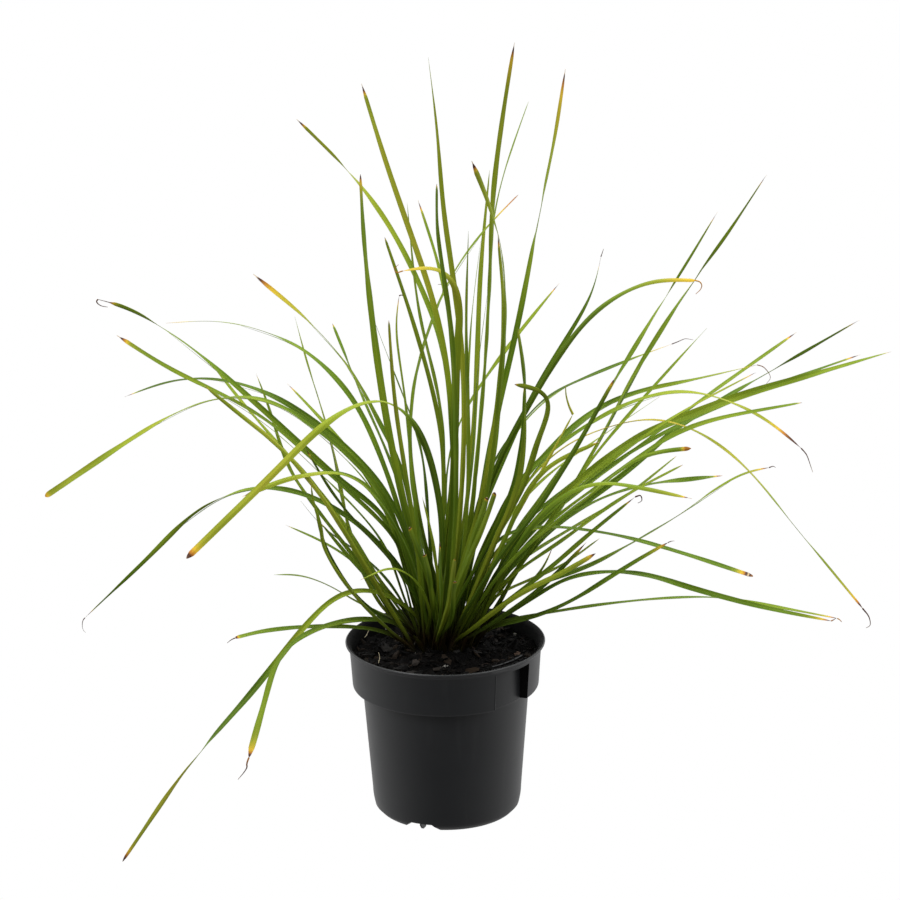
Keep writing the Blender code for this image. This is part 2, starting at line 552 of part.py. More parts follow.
def smooth_curve(points, steps):
    """Evenly spaced points on a centripetal Catmull-Rom curve through the given points."""
    spread = [points[0] * 2.0 - points[1]] + points + [points[-1] * 2.0 - points[-2]]
    dense = []
    for a, b, c, d in zip(spread, spread[1:], spread[2:], spread[3:]):
        t1 = math.sqrt((b - a).length)
        t2 = t1 + math.sqrt((c - b).length)
        t3 = t2 + math.sqrt((d - c).length)
        for step in range(12):
            t = t1 + (t2 - t1) * step / 12.0
            a1 = a * ((t1 - t) / t1) + b * (t / t1)
            a2 = b * ((t2 - t) / (t2 - t1)) + c * ((t - t1) / (t2 - t1))
            a3 = c * ((t3 - t) / (t3 - t2)) + d * ((t - t2) / (t3 - t2))
            b1 = a1 * ((t2 - t) / t2) + a2 * (t / t2)
            b2 = a2 * ((t3 - t) / (t3 - t1)) + a3 * ((t - t1) / (t3 - t1))
            dense.append(b1 * ((t2 - t) / (t2 - t1)) + b2 * ((t - t1) / (t2 - t1)))
    dense.append(points[-1])
    return resampled(np.array([tuple(p) for p in dense]), steps)


def resampled(points, steps):
    """Points spaced evenly along a polyline."""
    lengths = np.linalg.norm(np.diff(points, axis=0), axis=1)
    along = np.concatenate(([0.0], np.cumsum(lengths)))
    wanted = np.linspace(0.0, along[-1], steps + 1)
    return np.stack([np.interp(wanted, along, points[:, k]) for k in range(3)], axis=1)


def crown_point(tip, first):
    """Where a single leaf leaves the crown: towards its tip, and further out the flatter it rises."""
    heading = 0.4 * (tip - CROWN_MIDDLE) + (first - CROWN_MIDDLE)
    heading.z = 0.0
    if heading.length < 0.001:
        heading = Vector((0.0, 0.001, 0.0))
    rise = max(0.010, first.z - CROWN_HEIGHT)
    flatness = min(1.0, (first - CROWN_MIDDLE).to_2d().length / rise / 1.1)
    radius = CROWN_CORE + (CROWN_RADIUS - CROWN_CORE) * flatness
    spot = CROWN_MIDDLE + heading.normalized() * radius
    return Vector((spot.x, spot.y, CROWN_HEIGHT))


def drawn_course(behind_tip, seen, root=None):
    """The centre line of a drawn leaf: from the crown through the points that it is seen at."""
    points = [(across * MM, up * MM) for across, up in seen]
    start = (0.0, SOIL_TOP)
    lengths = []
    for across, up in points:
        lengths.append(math.hypot(across - start[0], up - start[1]))
        start = (across, up)
    total = sum(lengths)
    behind_root = CROWN_MIDDLE.y if root is None else root.y
    run = 0.0
    placed = []
    for length, (across, up) in zip(lengths, points):
        run += length
        behind = behind_root + (behind_tip * MM - behind_root) * (run / total) ** DEPTH_POWER
        placed.append(seen_point(across, up, behind))
    if root is None:
        root = crown_point(placed[-1], placed[0])
    return smooth_curve([root] + placed, FINE_STEPS)


def first_part(seen, share):
    """The points that a leaf passes through, up to a share of its length as it is seen."""
    points = [Vector((0.0, SOIL_TOP / MM))] + [Vector(spot) for spot in seen]
    lengths = [(goal - spot).length for spot, goal in zip(points, points[1:])]
    left = share * sum(lengths)
    kept = []
    for spot, goal, length in zip(points, points[1:], lengths):
        if left <= length:
            kept.append(tuple(spot.lerp(goal, left / length)))
            break
        kept.append(tuple(goal))
        left -= length
    return kept


class Blade:
    """One leaf blade: its course, its width, the piece it belongs to and where its rings lie."""

    def __init__(self, piece, course, width, cell=None):
        self.piece = piece
        self.course = course
        self.width = width
        self.cell = cell
        self.fused = cell is not None
        self.stations = ring_stations(course, SHOOT_SEGMENTS if self.fused else LEAF_SEGMENTS)


def ring_stations(course, segments):
    """The course points that carry the blade's rings: closer together low down and in bends."""
    ahead = np.diff(course, axis=0)
    ahead /= np.linalg.norm(ahead, axis=1)[:, None]
    turn = np.arccos(np.clip(np.sum(ahead[1:] * ahead[:-1], axis=1), -1.0, 1.0))
    turn = np.concatenate(([turn[0]], turn))
    shares = (np.arange(FINE_STEPS) + 0.5) / FINE_STEPS
    density = (1.0 + 1.6 * (shares < 0.14)) / FINE_STEPS + BEND_WEIGHT * turn
    along = np.concatenate(([0.0], np.cumsum(density)))
    wanted = np.linspace(0.0, along[-1], segments + 1)
    found = [int(round(v)) for v in np.interp(wanted, along, np.arange(FINE_STEPS + 1))]
    return found


def width_share(share):
    """A blade's width along its length, as a share of its full width."""
    swell = 0.72 + 0.28 * min(1.0, share / 0.25)
    taper = 1.0 - max(0.0, (share - 0.55) / 0.45) ** 1.6 * 0.82
    return swell * taper


def shoot_foot(bearing_degrees, distance, count):
    """The middles of a shoot's sheath cells: two rows that face each other across its fan."""
    bearing = math.radians(bearing_degrees)
    out = Vector((math.cos(bearing), math.sin(bearing), 0.0))
    along = Vector((-out.y, out.x, 0.0))
    middle = CROWN_MIDDLE + out * (distance * MM) + Vector((0.0, 0.0, CROWN_HEIGHT + SHEATH_HEIGHT))
    columns = (count + 1) // 2
    cells = []
    for column in range(columns):
        for row in range(2):
            shift = (column - 0.5 * (columns - 1)) * CELL_WIDTH
            cells.append(middle + along * shift + out * ((row - 0.5) * CELL_DEPTH))
    return cells, out, along


def hash_share(*numbers):
    """A repeatable share from 0 to 1 for some whole numbers."""
    value = 0.0
    for place, number in enumerate(numbers):
        value += number * (12.9898 + 65.171 * place)
    return math.sin(value) * 43758.5453 % 1.0


def shoot_blades(order, name, bearing, distance, hidden, drawn):
    """A shoot's blades: its drawn leaves, and the hidden ones that run behind single leaves."""
    points_of = {leaf: seen for leaf, _, _, seen in LEAVES}
    wanted = [(behind_tip, first_part(points_of[leaf], share)) for leaf, share, behind_tip in hidden]
    wanted += drawn
    cells, out, along = shoot_foot(bearing, distance, len(wanted))
    ranked = []
    for behind_tip, seen in wanted:
        tip = seen_point(seen[-1][0] * MM, seen[-1][1] * MM, behind_tip * MM)
        tip.z = 0.0
        ranked.append((tip, behind_tip, seen))
    ranked.sort(key=lambda item: item[0].dot(along))
    free = list(range(len(cells)))
    blades = []
    for rank, (tip, behind_tip, seen) in enumerate(ranked):
        column = min(rank // 2, len(cells) // 2 - 1)
        pair = [cell for cell in free if cell // 2 == column]
        pick = max(pair, key=lambda cell: (cell % 2) * (1.0 if tip.dot(out) > 0.045 else -1.0))
        free.remove(pick)
        width = 0.0029 + 0.0011 * hash_share(order, rank, 5)
        blades.append(Blade(name, drawn_course(behind_tip, seen, cells[pick]), width, pick))
    return blades


def all_blades():
    """Every blade of the tuft, with the pieces that they belong to."""
    blades = []
    for name, width, behind_tip, seen in LEAVES:
        blades.append(Blade(name, drawn_course(behind_tip, seen), width * MM))
    for order, (name, bearing, distance, hidden, drawn) in enumerate(SHOOTS):
        blades += shoot_blades(order, name, bearing, distance, hidden, drawn)
    return blades


def near_pairs(places, blades, reach):
    """Pairs of course points of different blades that lie within reach of each other."""
    steps = places.shape[1]
    flat = places.reshape(-1, 3)
    tree = KDTree(len(flat))
    for index, place in enumerate(flat):
        tree.insert(place, index)
    tree.balance()
    first = []
    second = []
    for index, place in enumerate(flat):
        row, step = divmod(index, steps)
        for _, other, _ in tree.find_range(place, reach):
            if other <= index or other // steps == row:
                continue
            same = blades[other // steps].piece == blades[row].piece
            if same and min(step, other % steps) < FUSED_STEPS:
                continue
            first.append(index)
            second.append(other)
    return np.array(first, dtype=int), np.array(second, dtype=int)


def separations(flat, ahead, first, second):
    """The direction in which each pair of course points has to part, and how far apart they are."""
    apart = flat[first] - flat[second]
    low = (flat[first, 2] < CROWN_HEIGHT + LOW_BAND) & (flat[second, 2] < CROWN_HEIGHT + LOW_BAND)
    normal = np.cross(ahead[first], ahead[second])
    slant = np.linalg.norm(normal, axis=1)
    same = np.sum(ahead[first] * ahead[second], axis=1) >= 0.0
    along = ahead[first] + np.where(same, 1.0, -1.0)[:, None] * ahead[second]
    along /= np.linalg.norm(along, axis=1)[:, None]
    beside = apart - along * np.sum(apart * along, axis=1)[:, None]
    crossing = slant > CROSSING_SLANT
    way = np.where(crossing[:, None], normal, beside)
    way[low] = apart[low] * np.array([1.0, 1.0, 0.0])
    size = np.linalg.norm(way, axis=1)
    blank = size < 1e-7
    way[blank] = np.array([0.0, 1.0, 0.0])
    way /= np.maximum(np.linalg.norm(way, axis=1), 1e-9)[:, None]
    reach = np.sum(apart * way, axis=1)
    way *= np.where(reach >= 0.0, 1.0, -1.0)[:, None]
    reach = np.abs(reach)
    flat_apart = np.where(low[:, None], apart * np.array([1.0, 1.0, 0.0]), apart)
    offset = np.sqrt(np.maximum(0.0, np.sum(flat_apart ** 2, axis=1) - reach ** 2))
    return way, reach, offset, low


def pushes(flat, frames, first, second, half, free):
    """How far each course point has to go to clear the others."""
    ahead, across, out = frames
    way, reach, offset, low = separations(flat, ahead, first, second)

    def extent(rows):
        wide = half[rows] * np.abs(np.sum(across[rows] * way, axis=1))
        thick = 0.6 * LEAF_THICKNESS * np.abs(np.sum(out[rows] * way, axis=1))
        return wide + thick

    need = extent(first) + extent(second) + SETTLE_GAP
    need = np.where(low, np.maximum(need, LOW_NEED), need)
    close = (reach < need) & (offset < half[first] + half[second] + 0.0005)
    first = first[close]
    second = second[close]
    shove = (need - reach)[close][:, None] * way[close]
    share = (free[first] / (free[first] + free[second] + 1e-6))[:, None]
    push = np.zeros_like(flat)
    weight = np.zeros(len(flat))
    np.add.at(push, first, shove * share)
    np.add.at(push, second, -shove * (1.0 - share))
    np.add.at(weight, first, 1.0)
    np.add.at(weight, second, 1.0)
    return push / np.maximum(1.0, weight ** 0.7)[:, None], len(first)


def ring_weights(stations):
    """How much each ring's place counts at each course point of the blade's straight-sided form."""
    weights = np.zeros((FINE_STEPS + 1, len(stations)))
    for index in range(len(stations) - 1):
        low, high = stations[index], stations[index + 1]
        share = (np.arange(low, high + 1) - low) / (high - low)
        weights[low:high + 1, index] = 1.0 - share
        weights[low:high + 1, index + 1] = share
    return weights


def settle(blades):
    """Move the blades aside a little, mostly along the lines of sight, until they clear each other."""
    weights = [ring_weights(blade.stations) for blade in blades]
    rings = [blade.course[blade.stations] for blade in blades]
    moved = [np.zeros_like(ring) for ring in rings]
    shares = np.linspace(0.0, 1.0, FINE_STEPS + 1)
    half = np.array([0.5 * blade.width * width_share(s) for blade in blades for s in shares])
    ramp = np.clip((shares - 0.02) / 0.10, 0.0, 1.0)
    free = np.array([ramp if blade.fused else np.ones_like(ramp) for blade in blades]).ravel()
    reach = 2.0 * float(half.max()) + SETTLE_GAP + 0.004
    for turn in range(SETTLE_ROUNDS):
        places = np.stack([w @ (ring + move) for w, ring, move in zip(weights, rings, moved)])
        if turn % 6 == 0:
            first, second = near_pairs(places, blades, reach)
        frames = [side_ways(place) for place in places]
        frames = [np.concatenate([frame[k] for frame in frames]) for k in (2, 0, 1)]
        push, count = pushes(places.reshape(-1, 3), frames, first, second, half, free)
        if count == 0:
            break
        push = push.reshape(places.shape)
        for row, blade in enumerate(blades):
            size = np.linalg.norm(push[row], axis=1)
            if not np.any(size):
                continue
            total = weights[row].T @ size
            step = (weights[row].T @ (push[row] * size[:, None])) / (total + 1e-5)[:, None]
            rays = rings[row] - np.array(EYE)
            rays /= rays[:, 1:2]
            sight = step[:, 1:2] * rays
            hold = np.where(rings[row][:, 2:3] < CROWN_HEIGHT + 0.060, 1.0, SIDE_HOLD)
            step = np.clip(SETTLE_GAIN * (sight + (step - sight) * hold), -0.002, 0.002)
            if blade.fused:
                step[0] = 0.0
            step[0, 2] = 0.0
            moved[row] += step
            moved[row][1:-1] += 0.03 * (moved[row][:-2] + moved[row][2:] - 2.0 * moved[row][1:-1])
            lowest = FLOOR_CLEARANCE - rings[row][1:, 2]
            moved[row][1:, 2] = np.maximum(moved[row][1:, 2], lowest)
    for row, blade in enumerate(blades):
        blade.course = blade.course + weights[row] @ moved[row]


def side_ways(course):
    """For each point of a course, the direction across the blade and the one out of its face."""
    ahead = np.gradient(course, axis=0)
    ahead /= np.linalg.norm(ahead, axis=1)[:, None]
    reach = course[-1] - course[0]
    flat = np.array([-reach[1], reach[0], 0.0])
    flat /= max(1e-6, np.linalg.norm(flat))
    to_eye = np.array(EYE) - course
    facing = np.cross(ahead, to_eye)
    facing /= np.linalg.norm(facing, axis=1)[:, None]
    mid = facing[len(course) // 2]
    if float(np.dot(mid, flat)) < 0.0:
        flat = -flat
    across = (1.0 - FACING) * flat + FACING * facing
    across -= ahead * np.sum(across * ahead, axis=1)[:, None]
    across /= np.linalg.norm(across, axis=1)[:, None]
    out = np.cross(across, ahead)
    return across, out, ahead


def leaf_mesh(blade):
    """A single leaf as a keeled strap that narrows to its tip."""
    across, out, _ = side_ways(blade.course)
    points = []
    rows = []
    for step, at in enumerate(blade.stations[:-1]):
        share = at / FINE_STEPS
        half = 0.5 * blade.width * width_share(share)
        depth = LEAF_THICKNESS * (0.55 + 0.45 * width_share(share))
        centre = blade.course[at]
        side = across[at]
        face = out[at]
        if step == 0:
            side = side - np.array([0.0, 0.0, side[2]])
            side /= np.linalg.norm(side)
            face = np.array([side[1], -side[0], 0.0])
        rows.append(len(points))
        points.append(centre - side * half + face * depth * 0.4)
        points.append(centre + side * half + face * depth * 0.4)
        points.append(centre - face * depth * 0.6)
    tip = len(points)
    points.append(blade.course[FINE_STEPS])
    faces = [(0, 1, 2)]
    for low, high in zip(rows, rows[1:]):
        for k in range(3):
            nxt = (k + 1) % 3
            faces.append((low + k, low + nxt, high + nxt, high + k))
    for k in range(3):
        faces.append((rows[-1] + k, rows[-1] + (k + 1) % 3, tip))
    return mesh_from(blade.piece, points, faces, math.radians(40.0))


def shoot_mesh(name, bearing, distance, blades):
    """A shoot: its flattened sheath, with one tapering blade grown from each of its cells."""
    cells, out, along = shoot_foot(bearing, distance, len(blades))
    columns = len(cells) // 2
    points = []
    for level in (-SHEATH_HEIGHT, 0.0):
        for edge in range(columns + 1):
            for row in range(3):
                spot = CROWN_MIDDLE + out * (distance * MM)
                spot = spot + along * ((edge - 0.5 * columns) * CELL_WIDTH)
                spot = spot + out * ((row - 1) * CELL_DEPTH)
                points.append((spot.x, spot.y, CROWN_HEIGHT + SHEATH_HEIGHT + level))
    upper = 3 * (columns + 1)

    def corner(edge, row, level):
        return level * upper + edge * 3 + row

    faces = []
    for column in range(columns):
        for row in range(2):
            faces.append((corner(column, row, 0), corner(column, row + 1, 0),
                          corner(column + 1, row + 1, 0), corner(column + 1, row, 0)))
        for row in (0, 2):
            faces.append((corner(column, row, 0), corner(column + 1, row, 0),
                          corner(column + 1, row, 1), corner(column, row, 1)))
    for edge in (0, columns):
        for row in range(2):
            faces.append((corner(edge, row, 0), corner(edge, row + 1, 0),
                          corner(edge, row + 1, 1), corner(edge, row, 1)))
    taken = {blade.cell: blade for blade in blades}
    for cell in range(len(cells)):
        column, row = divmod(cell, 2)
        ring = [corner(column, row, 1), corner(column, row + 1, 1),
                corner(column + 1, row + 1, 1), corner(column + 1, row, 1)]
        if cell not in taken:
            faces.append(tuple(ring))
            continue
        add_blade(points, faces, ring, taken[cell])
    return mesh_from(name, points, faces, math.radians(40.0))


def best_order(foot, corners):
    """The order of a ring's corners that follows on from the ring below it without a twist."""
    foot_middle = sum(foot, Vector()) / 4.0
    middle = sum(corners, Vector()) / 4.0
    orders = []
    for shift in range(4):
        orders.append([(shift + k) % 4 for k in range(4)])
        orders.append([(shift - k) % 4 for k in range(4)])

    def travel(order):
        pairs = zip(foot, order)
        return sum(((p - foot_middle) - (corners[k] - middle)).length for p, k in pairs)

    return min(orders, key=travel)


def add_blade(points, faces, ring, blade):
    """Grow one blade from a ring of four corners."""
    across, out, _ = side_ways(blade.course)
    foot = [Vector(points[index]) for index in ring]
    order = None
    for at in blade.stations[1:-1]:
        share = at / FINE_STEPS
        half = 0.5 * blade.width * width_share(share)
        depth = 0.5 * LEAF_THICKNESS * (0.5 + 0.5 * width_share(share))
        centre = blade.course[at]
        corners = [
            Vector(centre - across[at] * half),
            Vector(centre + out[at] * depth),
            Vector(centre + across[at] * half),
            Vector(centre - out[at] * depth),
        ]
        if order is None:
            order = best_order(foot, corners)
        upper = []
        for k in order:
            upper.append(len(points))
            points.append(tuple(corners[k]))
        for k in range(4):
            nxt = (k + 1) % 4
            faces.append((ring[k], ring[nxt], upper[nxt], upper[k]))
        ring = upper
    points.append(tuple(blade.course[FINE_STEPS]))
    for k in range(4):
        faces.append((ring[k], ring[(k + 1) % 4], len(points) - 1))


def build_tuft():
    """The single leaves and the shoots, settled beside each other."""
    green = plain_material("leaf_green", LEAF_GREEN, 0.42)
    olive = plain_material("leaf_olive", OLIVE_GREEN, 0.45)
    blades = all_blades()
    settle(blades)
    for blade in blades:
        if not blade.fused:
            material = olive if blade.piece in OLIVE_LEAVES else green
            add_object(blade.piece, leaf_mesh(blade), material)
    for name, bearing, distance, _, _ in SHOOTS:
        own = [blade for blade in blades if blade.piece == name]
        add_object(name, shoot_mesh(name, bearing, distance, own), green)


clear_scene()
build_pot()
build_soil()
build_tuft()
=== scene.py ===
"""The looks of a lomandra tuft in a round nursery pot, on a pale studio floor.

Every leaf follows the rings of its solid in the frame, from the crown to its tip.  Lengths are in
metres; the tables of what is seen give millimetres on the upright plane through the pot's axis.
"""

import json
import math
import random
from collections import namedtuple

import bmesh
import bpy
import numpy as np
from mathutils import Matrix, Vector, noise


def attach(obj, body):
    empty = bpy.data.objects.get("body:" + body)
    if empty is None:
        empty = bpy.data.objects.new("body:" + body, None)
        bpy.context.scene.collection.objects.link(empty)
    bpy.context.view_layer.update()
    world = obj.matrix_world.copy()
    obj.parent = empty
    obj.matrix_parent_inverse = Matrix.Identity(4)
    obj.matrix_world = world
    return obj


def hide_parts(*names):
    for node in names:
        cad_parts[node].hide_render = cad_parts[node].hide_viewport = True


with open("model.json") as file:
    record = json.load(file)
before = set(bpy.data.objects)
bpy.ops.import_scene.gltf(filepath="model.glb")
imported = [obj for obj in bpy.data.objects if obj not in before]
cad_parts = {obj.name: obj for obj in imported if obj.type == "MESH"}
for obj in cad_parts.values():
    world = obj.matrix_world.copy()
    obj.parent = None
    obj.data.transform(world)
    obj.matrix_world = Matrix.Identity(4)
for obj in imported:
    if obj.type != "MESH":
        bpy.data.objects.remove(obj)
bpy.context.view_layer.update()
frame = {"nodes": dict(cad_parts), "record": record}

MM = 0.001

# Camera.
EYE = Vector((0.0054, -2.725, 1.164))
CAMERA_PITCH = math.radians(17.82)
CAMERA_ROLL = math.radians(0.70)
LENS = 152.0
SENSOR = 36.0

# Floor and light.
FLOOR_REACH = 6.0
FLOOR_LEVEL = -0.0002
FRONT_LIGHT = 0.14
SIDE_LIGHT = 1.20
LOW_SHARE = 0.45
TOP_LIGHT = 0.60
# Soft lights, as (name, place, target, size, power).
LIGHTS = (
    ("key", (-1.8, -1.6, 2.3), (0.0, 0.0, 0.30), 1.2, 38.0),
    ("fill", (2.0, -1.2, 1.6), (0.0, 0.0, 0.30), 1.4, 18.0),
    ("top", (0.1, 0.5, 2.6), (0.0, 0.0, 0.20), 1.4, 34.0))

# Pot, as in the frame, with its edges rounded.
RIM_RADIUS = 0.0765
POT_HEIGHT = 0.136
WALL = 0.0014
COLLAR_TOP_RADIUS = 0.0736
COLLAR_FOOT_RADIUS = 0.0714
COLLAR_FOOT_HEIGHT = 0.1015
BODY_TOP_RADIUS = 0.0640
BODY_FOOT_RADIUS = 0.0574
BODY_FOOT_HEIGHT = 0.0160
FOOT_RADIUS = 0.0525
FOOT_RING_WIDTH = 0.0060
FOOT_FLARE = 0.0032
FOOT_FLARE_HEIGHT = 0.0038
COLLAR_STEP = 0.0040
BASE_RISE = 0.0035
BASE_DISC_RADIUS = 0.0200
BASE_THICKNESS = 0.0020
POT_SIDES = 168
POCKET_START = math.radians(31.0)
POCKET_END = math.radians(60.0)
POCKET_PANEL_RADIUS = 0.0650
POCKET_TOP = 0.1295
POCKET_WALL = 0.0014
POCKET_SHELF_HEIGHT = 0.1335
SLOT_INNER_RADIUS = 0.0695
SLOT_OUTER_RADIUS = 0.0722
SLOT_FLOOR = 0.1270
SLOT_COUNT = 3
SLOT_RIB = math.radians(1.6)
POCKET_MARGIN = math.radians(2.2)
POCKET_EDGE_RADIUS = 0.00055
POCKET_EDGE_STEPS = 8
LEDGE_RADIUS = 0.0672
LEDGE_HEIGHT = 0.1350
GAP_COUNT = 3
GAP_BEARING = math.radians(-21.5)
GAP_HALF_FLOOR = math.radians(17.0)
GAP_HALF_TOP = math.radians(9.0)
GAP_HEIGHT = 0.0060
GAP_RIB_WIDTH = math.radians(1.1)
GAP_CUTTER_INSET = 0.0030
GAP_CUTTER_OUTSET = 0.0080
CUT_MARGIN = 0.0010
HOLE_COUNT = 4
HOLE_TURN = math.radians(17.0)
HOLE_RADIUS = 0.0050
HOLE_CIRCLE = 0.0330
HOLE_SIDES = 32
HOLE_SKEW = 0.031
HOLE_CUTTER_HEIGHT = 0.004
HOLE_CUTTER_LENGTH = 0.012

# Potting mix.
SOIL_TOP = 0.1250
SOIL_RISE = 0.0040
SOIL_FLAT_RADIUS = 0.0300
SOIL_SLOPE = 0.0140
SOIL_BUMP = 0.0018
SOIL_GAP = 0.0003
SOIL_RADIUS = 0.0715
SOIL_RINGS = 46
SOIL_SIDES = 180
# Its roughness, as (scale, noise layer, height).
SOIL_ROUGHNESS = ((95.0, 3.1, 0.0011), (330.0, 7.7, 0.0007))

# Chips, crumbs, fibres and rootlets on the mix, with the lengths of chips and crumbs in millimetres.
LOOSE_TILT = 0.35
FLAT_TILT = 0.12
LEAST_STRETCH = 0.6
CHIP_SEED = 11
CHIP_COUNT = 1500
CHIP_LENGTHS = (1.2, 1.6, 2.2, 3.0, 4.2)
LARGE_CHIP_LENGTHS = (5.0, 9.0)
LARGE_CHIP_EVERY = 9
POCKET_CRUMBS = 110
POCKET_CRUMB_RADII = (0.0618, 0.0682)
POCKET_CRUMB_LENGTHS = (1.6, 3.4)
POCKET_CRUMB_SPILL = 0.03
FIBRE_SEED = 5
FIBRE_COUNT = 150
FIBRE_STEPS = 6
FIBRE_LENGTHS = (0.003, 0.011)
FIBRE_RADII = (0.00010, 0.00024)
CRUMB_SEED = 3
ROOTLET_RADIUS = 0.00032
ROOTLET_STEPS = 18

# Leaves: where they stand and how finely they are cut into rings.
CROWN_MIDDLE = np.array((-0.0020, 0.0110))
CROWN_HEIGHT = 0.1293
SHEATH_TOP = 0.1353
CROWN_REACH = 0.038
ROOT_DEPTH = 0.0065
ROOT_GATHER = 0.94
LEAF_SEED = 100
LEAF_RINGS = 84
SHOOT_RINGS = 64
LEAF_EASE = 6
SHOOT_EASE = 8
CURVE_STEPS = 16
DRY_BASE_SEED = 21
DRY_BASE_COUNT = 24
DRY_BASE_RINGS = 14
DRY_BASE_STEPS = 5
DRY_BASE_CIRCLE = (0.019, 0.026)
DRY_BASE_SWAY = 0.35
DRY_BASE_LEANS = (0.3, 0.9)
DRY_BASE_LENGTHS = (0.006, 0.017)
DRY_BASE_WIDTHS = (0.0022, 0.0036)
THREAD_STEPS = 14
THREAD_SIDES = 4

# A blade's width along its length, as shares of its full width and of its length.
WIDTH_GAIN = 1.14
NECK_WIDTH = 0.78
NECK_GAIN = 0.22
NECK_END = 0.22
FOOT_GAIN = 0.55
FOOT_END = 0.030
FALL_START = 0.62
FALL_LENGTH = 0.38
FALL_CURVE = 1.8
POINT_WIDTH = 0.20
POINT_CURVE = 0.7
POINT_END = 0.55
LEAST_POINT = 0.1
END_RING_SHARES = (0.35, 0.65, 0.85)

# A blade's section: a fold in degrees along its length, a rib, thin edges and a slight ripple.
FOLDS = ((0.0, 54.0), (0.08, 44.0), (0.3, 30.0), (0.5, 18.0), (0.8, 12.0), (1.0, 10.0))
SECTION = np.array((-1.0, -0.86, -0.55, -0.2, 0.0, 0.2, 0.55, 0.86, 1.0))
BOW_ROUNDING = 0.02
RIB_THICKNESS = 0.00045
RIB_REACH = 0.45
EDGE_THICKNESS = 0.00020
THINNING_WIDTH = 0.35
LEAST_THICKNESS = 0.35
RIPPLE = 0.10
RIPPLE_WAVES = (90.0, 160.0)
WAVE_STARTS = (0.0, 6.0)

# How a blade turns along its length, and how it closes where it is seen from its edge.
LEAN_KEPT = 0.65
LEAN_LOST = 0.25
FOOT_LEAN = 0.6
WANDERS = (-0.5, 0.5)
WANDER_WAVES = (2.0, 5.0)
WANDER_START = 0.2
WANDER_KEPT = 0.15
TURN_START = 0.15
TURN_EASE = 9
LEVEL_ENOUGH = 0.12
INWARD_LIFT = 0.3
TWIST_CLOSING = 0.30
TWIST_FLATTENING = 0.95
TWIST_REACH = 0.22

# Leaf tissue: what each point carries, and the colours that it gives.
LEAF_VALUES = ("side", "back", "age", "base", "tone")
STREAK_GRAIN = (2200.0, 9.0, 1.0)
GRAIN_SHIFT = 40.0
STREAK_SHARE = 0.75
STREAK_TINT = (0.62, 0.68, 0.60)
PATCH_GRAIN = (160.0, 22.0, 1.0)
PATCH_SHARE = 0.45
BACK_SHARE = 0.55
BACK_TINT = (1.08, 1.04, 1.15)
RAGGED_SHARE = 0.16
SHEATH_LEAST = 0.030
SHEATH_MORE = 0.030
SHEATH_CURVE = 1.5
RIB_COLOUR = (0.34, 0.42, 0.035)
EDGE_COLOUR = (0.30, 0.33, 0.025)
GREENS = (
    (0.0, (0.038, 0.080, 0.0040)),
    (0.35, (0.103, 0.184, 0.0088)),
    (0.65, (0.232, 0.304, 0.0165)),
    (1.0, (0.370, 0.360, 0.0300)))
SHEATH_COLOURS = (
    (0.0, (0.060, 0.090, 0.0080)),
    (0.45, (0.055, 0.058, 0.0090)),
    (0.70, (0.042, 0.020, 0.0080)),
    (1.0, (0.009, 0.005, 0.0035)))
# Painted shade: the leaf colour darkened towards each leaf's foot, as (run from the crown times five,
# factor), standing in for the shade inside the tuft.
FOOT_PAINTED_SHADE = (
    (0.04, (0.26, 0.26, 0.24)),
    (0.18, (0.44, 0.46, 0.40)),
    (0.45, (0.74, 0.76, 0.72)),
    (0.85, (1.0, 1.0, 1.0)))
DRIED_COLOURS = (
    (0.0, (0.130, 0.180, 0.012)),
    (0.22, (0.240, 0.270, 0.018)),
    (0.42, (0.520, 0.360, 0.024)),
    (0.58, (0.380, 0.150, 0.018)),
    (0.72, (0.060, 0.022, 0.012)),
    (0.84, (0.100, 0.060, 0.042)),
    (1.0, (0.560, 0.420, 0.250)))


def principled(name, roughness):
    """A new material with its node tree and its shader."""
    material = bpy.data.materials.new(name)
    material.use_nodes = True
    tree = material.node_tree
    shader = tree.nodes["Principled BSDF"]
    shader.inputs["Roughness"].default_value = roughness
    shader.inputs["Metallic"].default_value = 0.0
    return material, tree, shader


def add_node(tree, kind, **settings):
    """A node with its settings; names with a leading in_ set its sockets."""
    node = tree.nodes.new(kind)
    for key, value in settings.items():
        if key.startswith("in_"):
            socket = key[3:].replace("_", " ")
            node.inputs[int(socket) if socket.isdigit() else socket].default_value = value
        else:
            setattr(node, key, value)
    return node


def attribute(tree, name, output):
    """A value that the mesh carries."""
    return add_node(tree, "ShaderNodeAttribute", attribute_name=name).outputs[output]


def calculate(tree, operation, *values, clamp=False):
    """The result of a Math node."""
    node = add_node(tree, "ShaderNodeMath", operation=operation, use_clamp=clamp)
    for index, value in enumerate(values):
        if isinstance(value, (int, float)):
            node.inputs[index].default_value = value
        else:
            tree.links.new(value, node.inputs[index])
    return node.outputs[0]


def times(tree, value, factor, clamp=False):
    """A value times another."""
    return calculate(tree, "MULTIPLY", value, factor, clamp=clamp)


def plus(tree, value, more, clamp=False):
    """A value with another added to it."""
    return calculate(tree, "ADD", value, more, clamp=clamp)


def mixed(tree, share, first, second, blend="MIX"):
    """A mix of two colours, each a socket or three numbers."""
    node = add_node(tree, "ShaderNodeMix", data_type="RGBA", blend_type=blend)
    for socket, value in ((node.inputs[0], share), (node.inputs[6], first), (node.inputs[7], second)):
        if isinstance(value, bpy.types.NodeSocket):
            tree.links.new(value, socket)
        else:
            socket.default_value = (*value, 1.0) if isinstance(value, tuple) else value
    return node.outputs[2]


def ramp(tree, value, stops):
    """A colour ramp over the given (place, colour) stops."""
    node = add_node(tree, "ShaderNodeValToRGB")
    elements = node.color_ramp.elements
    while len(elements) > 1:
        elements.remove(elements[-1])
    for index, (place, colour) in enumerate(stops):
        element = elements[0] if index == 0 else elements.new(place)
        element.position = place
        element.color = (*colour, 1.0)
    tree.links.new(value, node.inputs[0])
    return node.outputs["Color"]


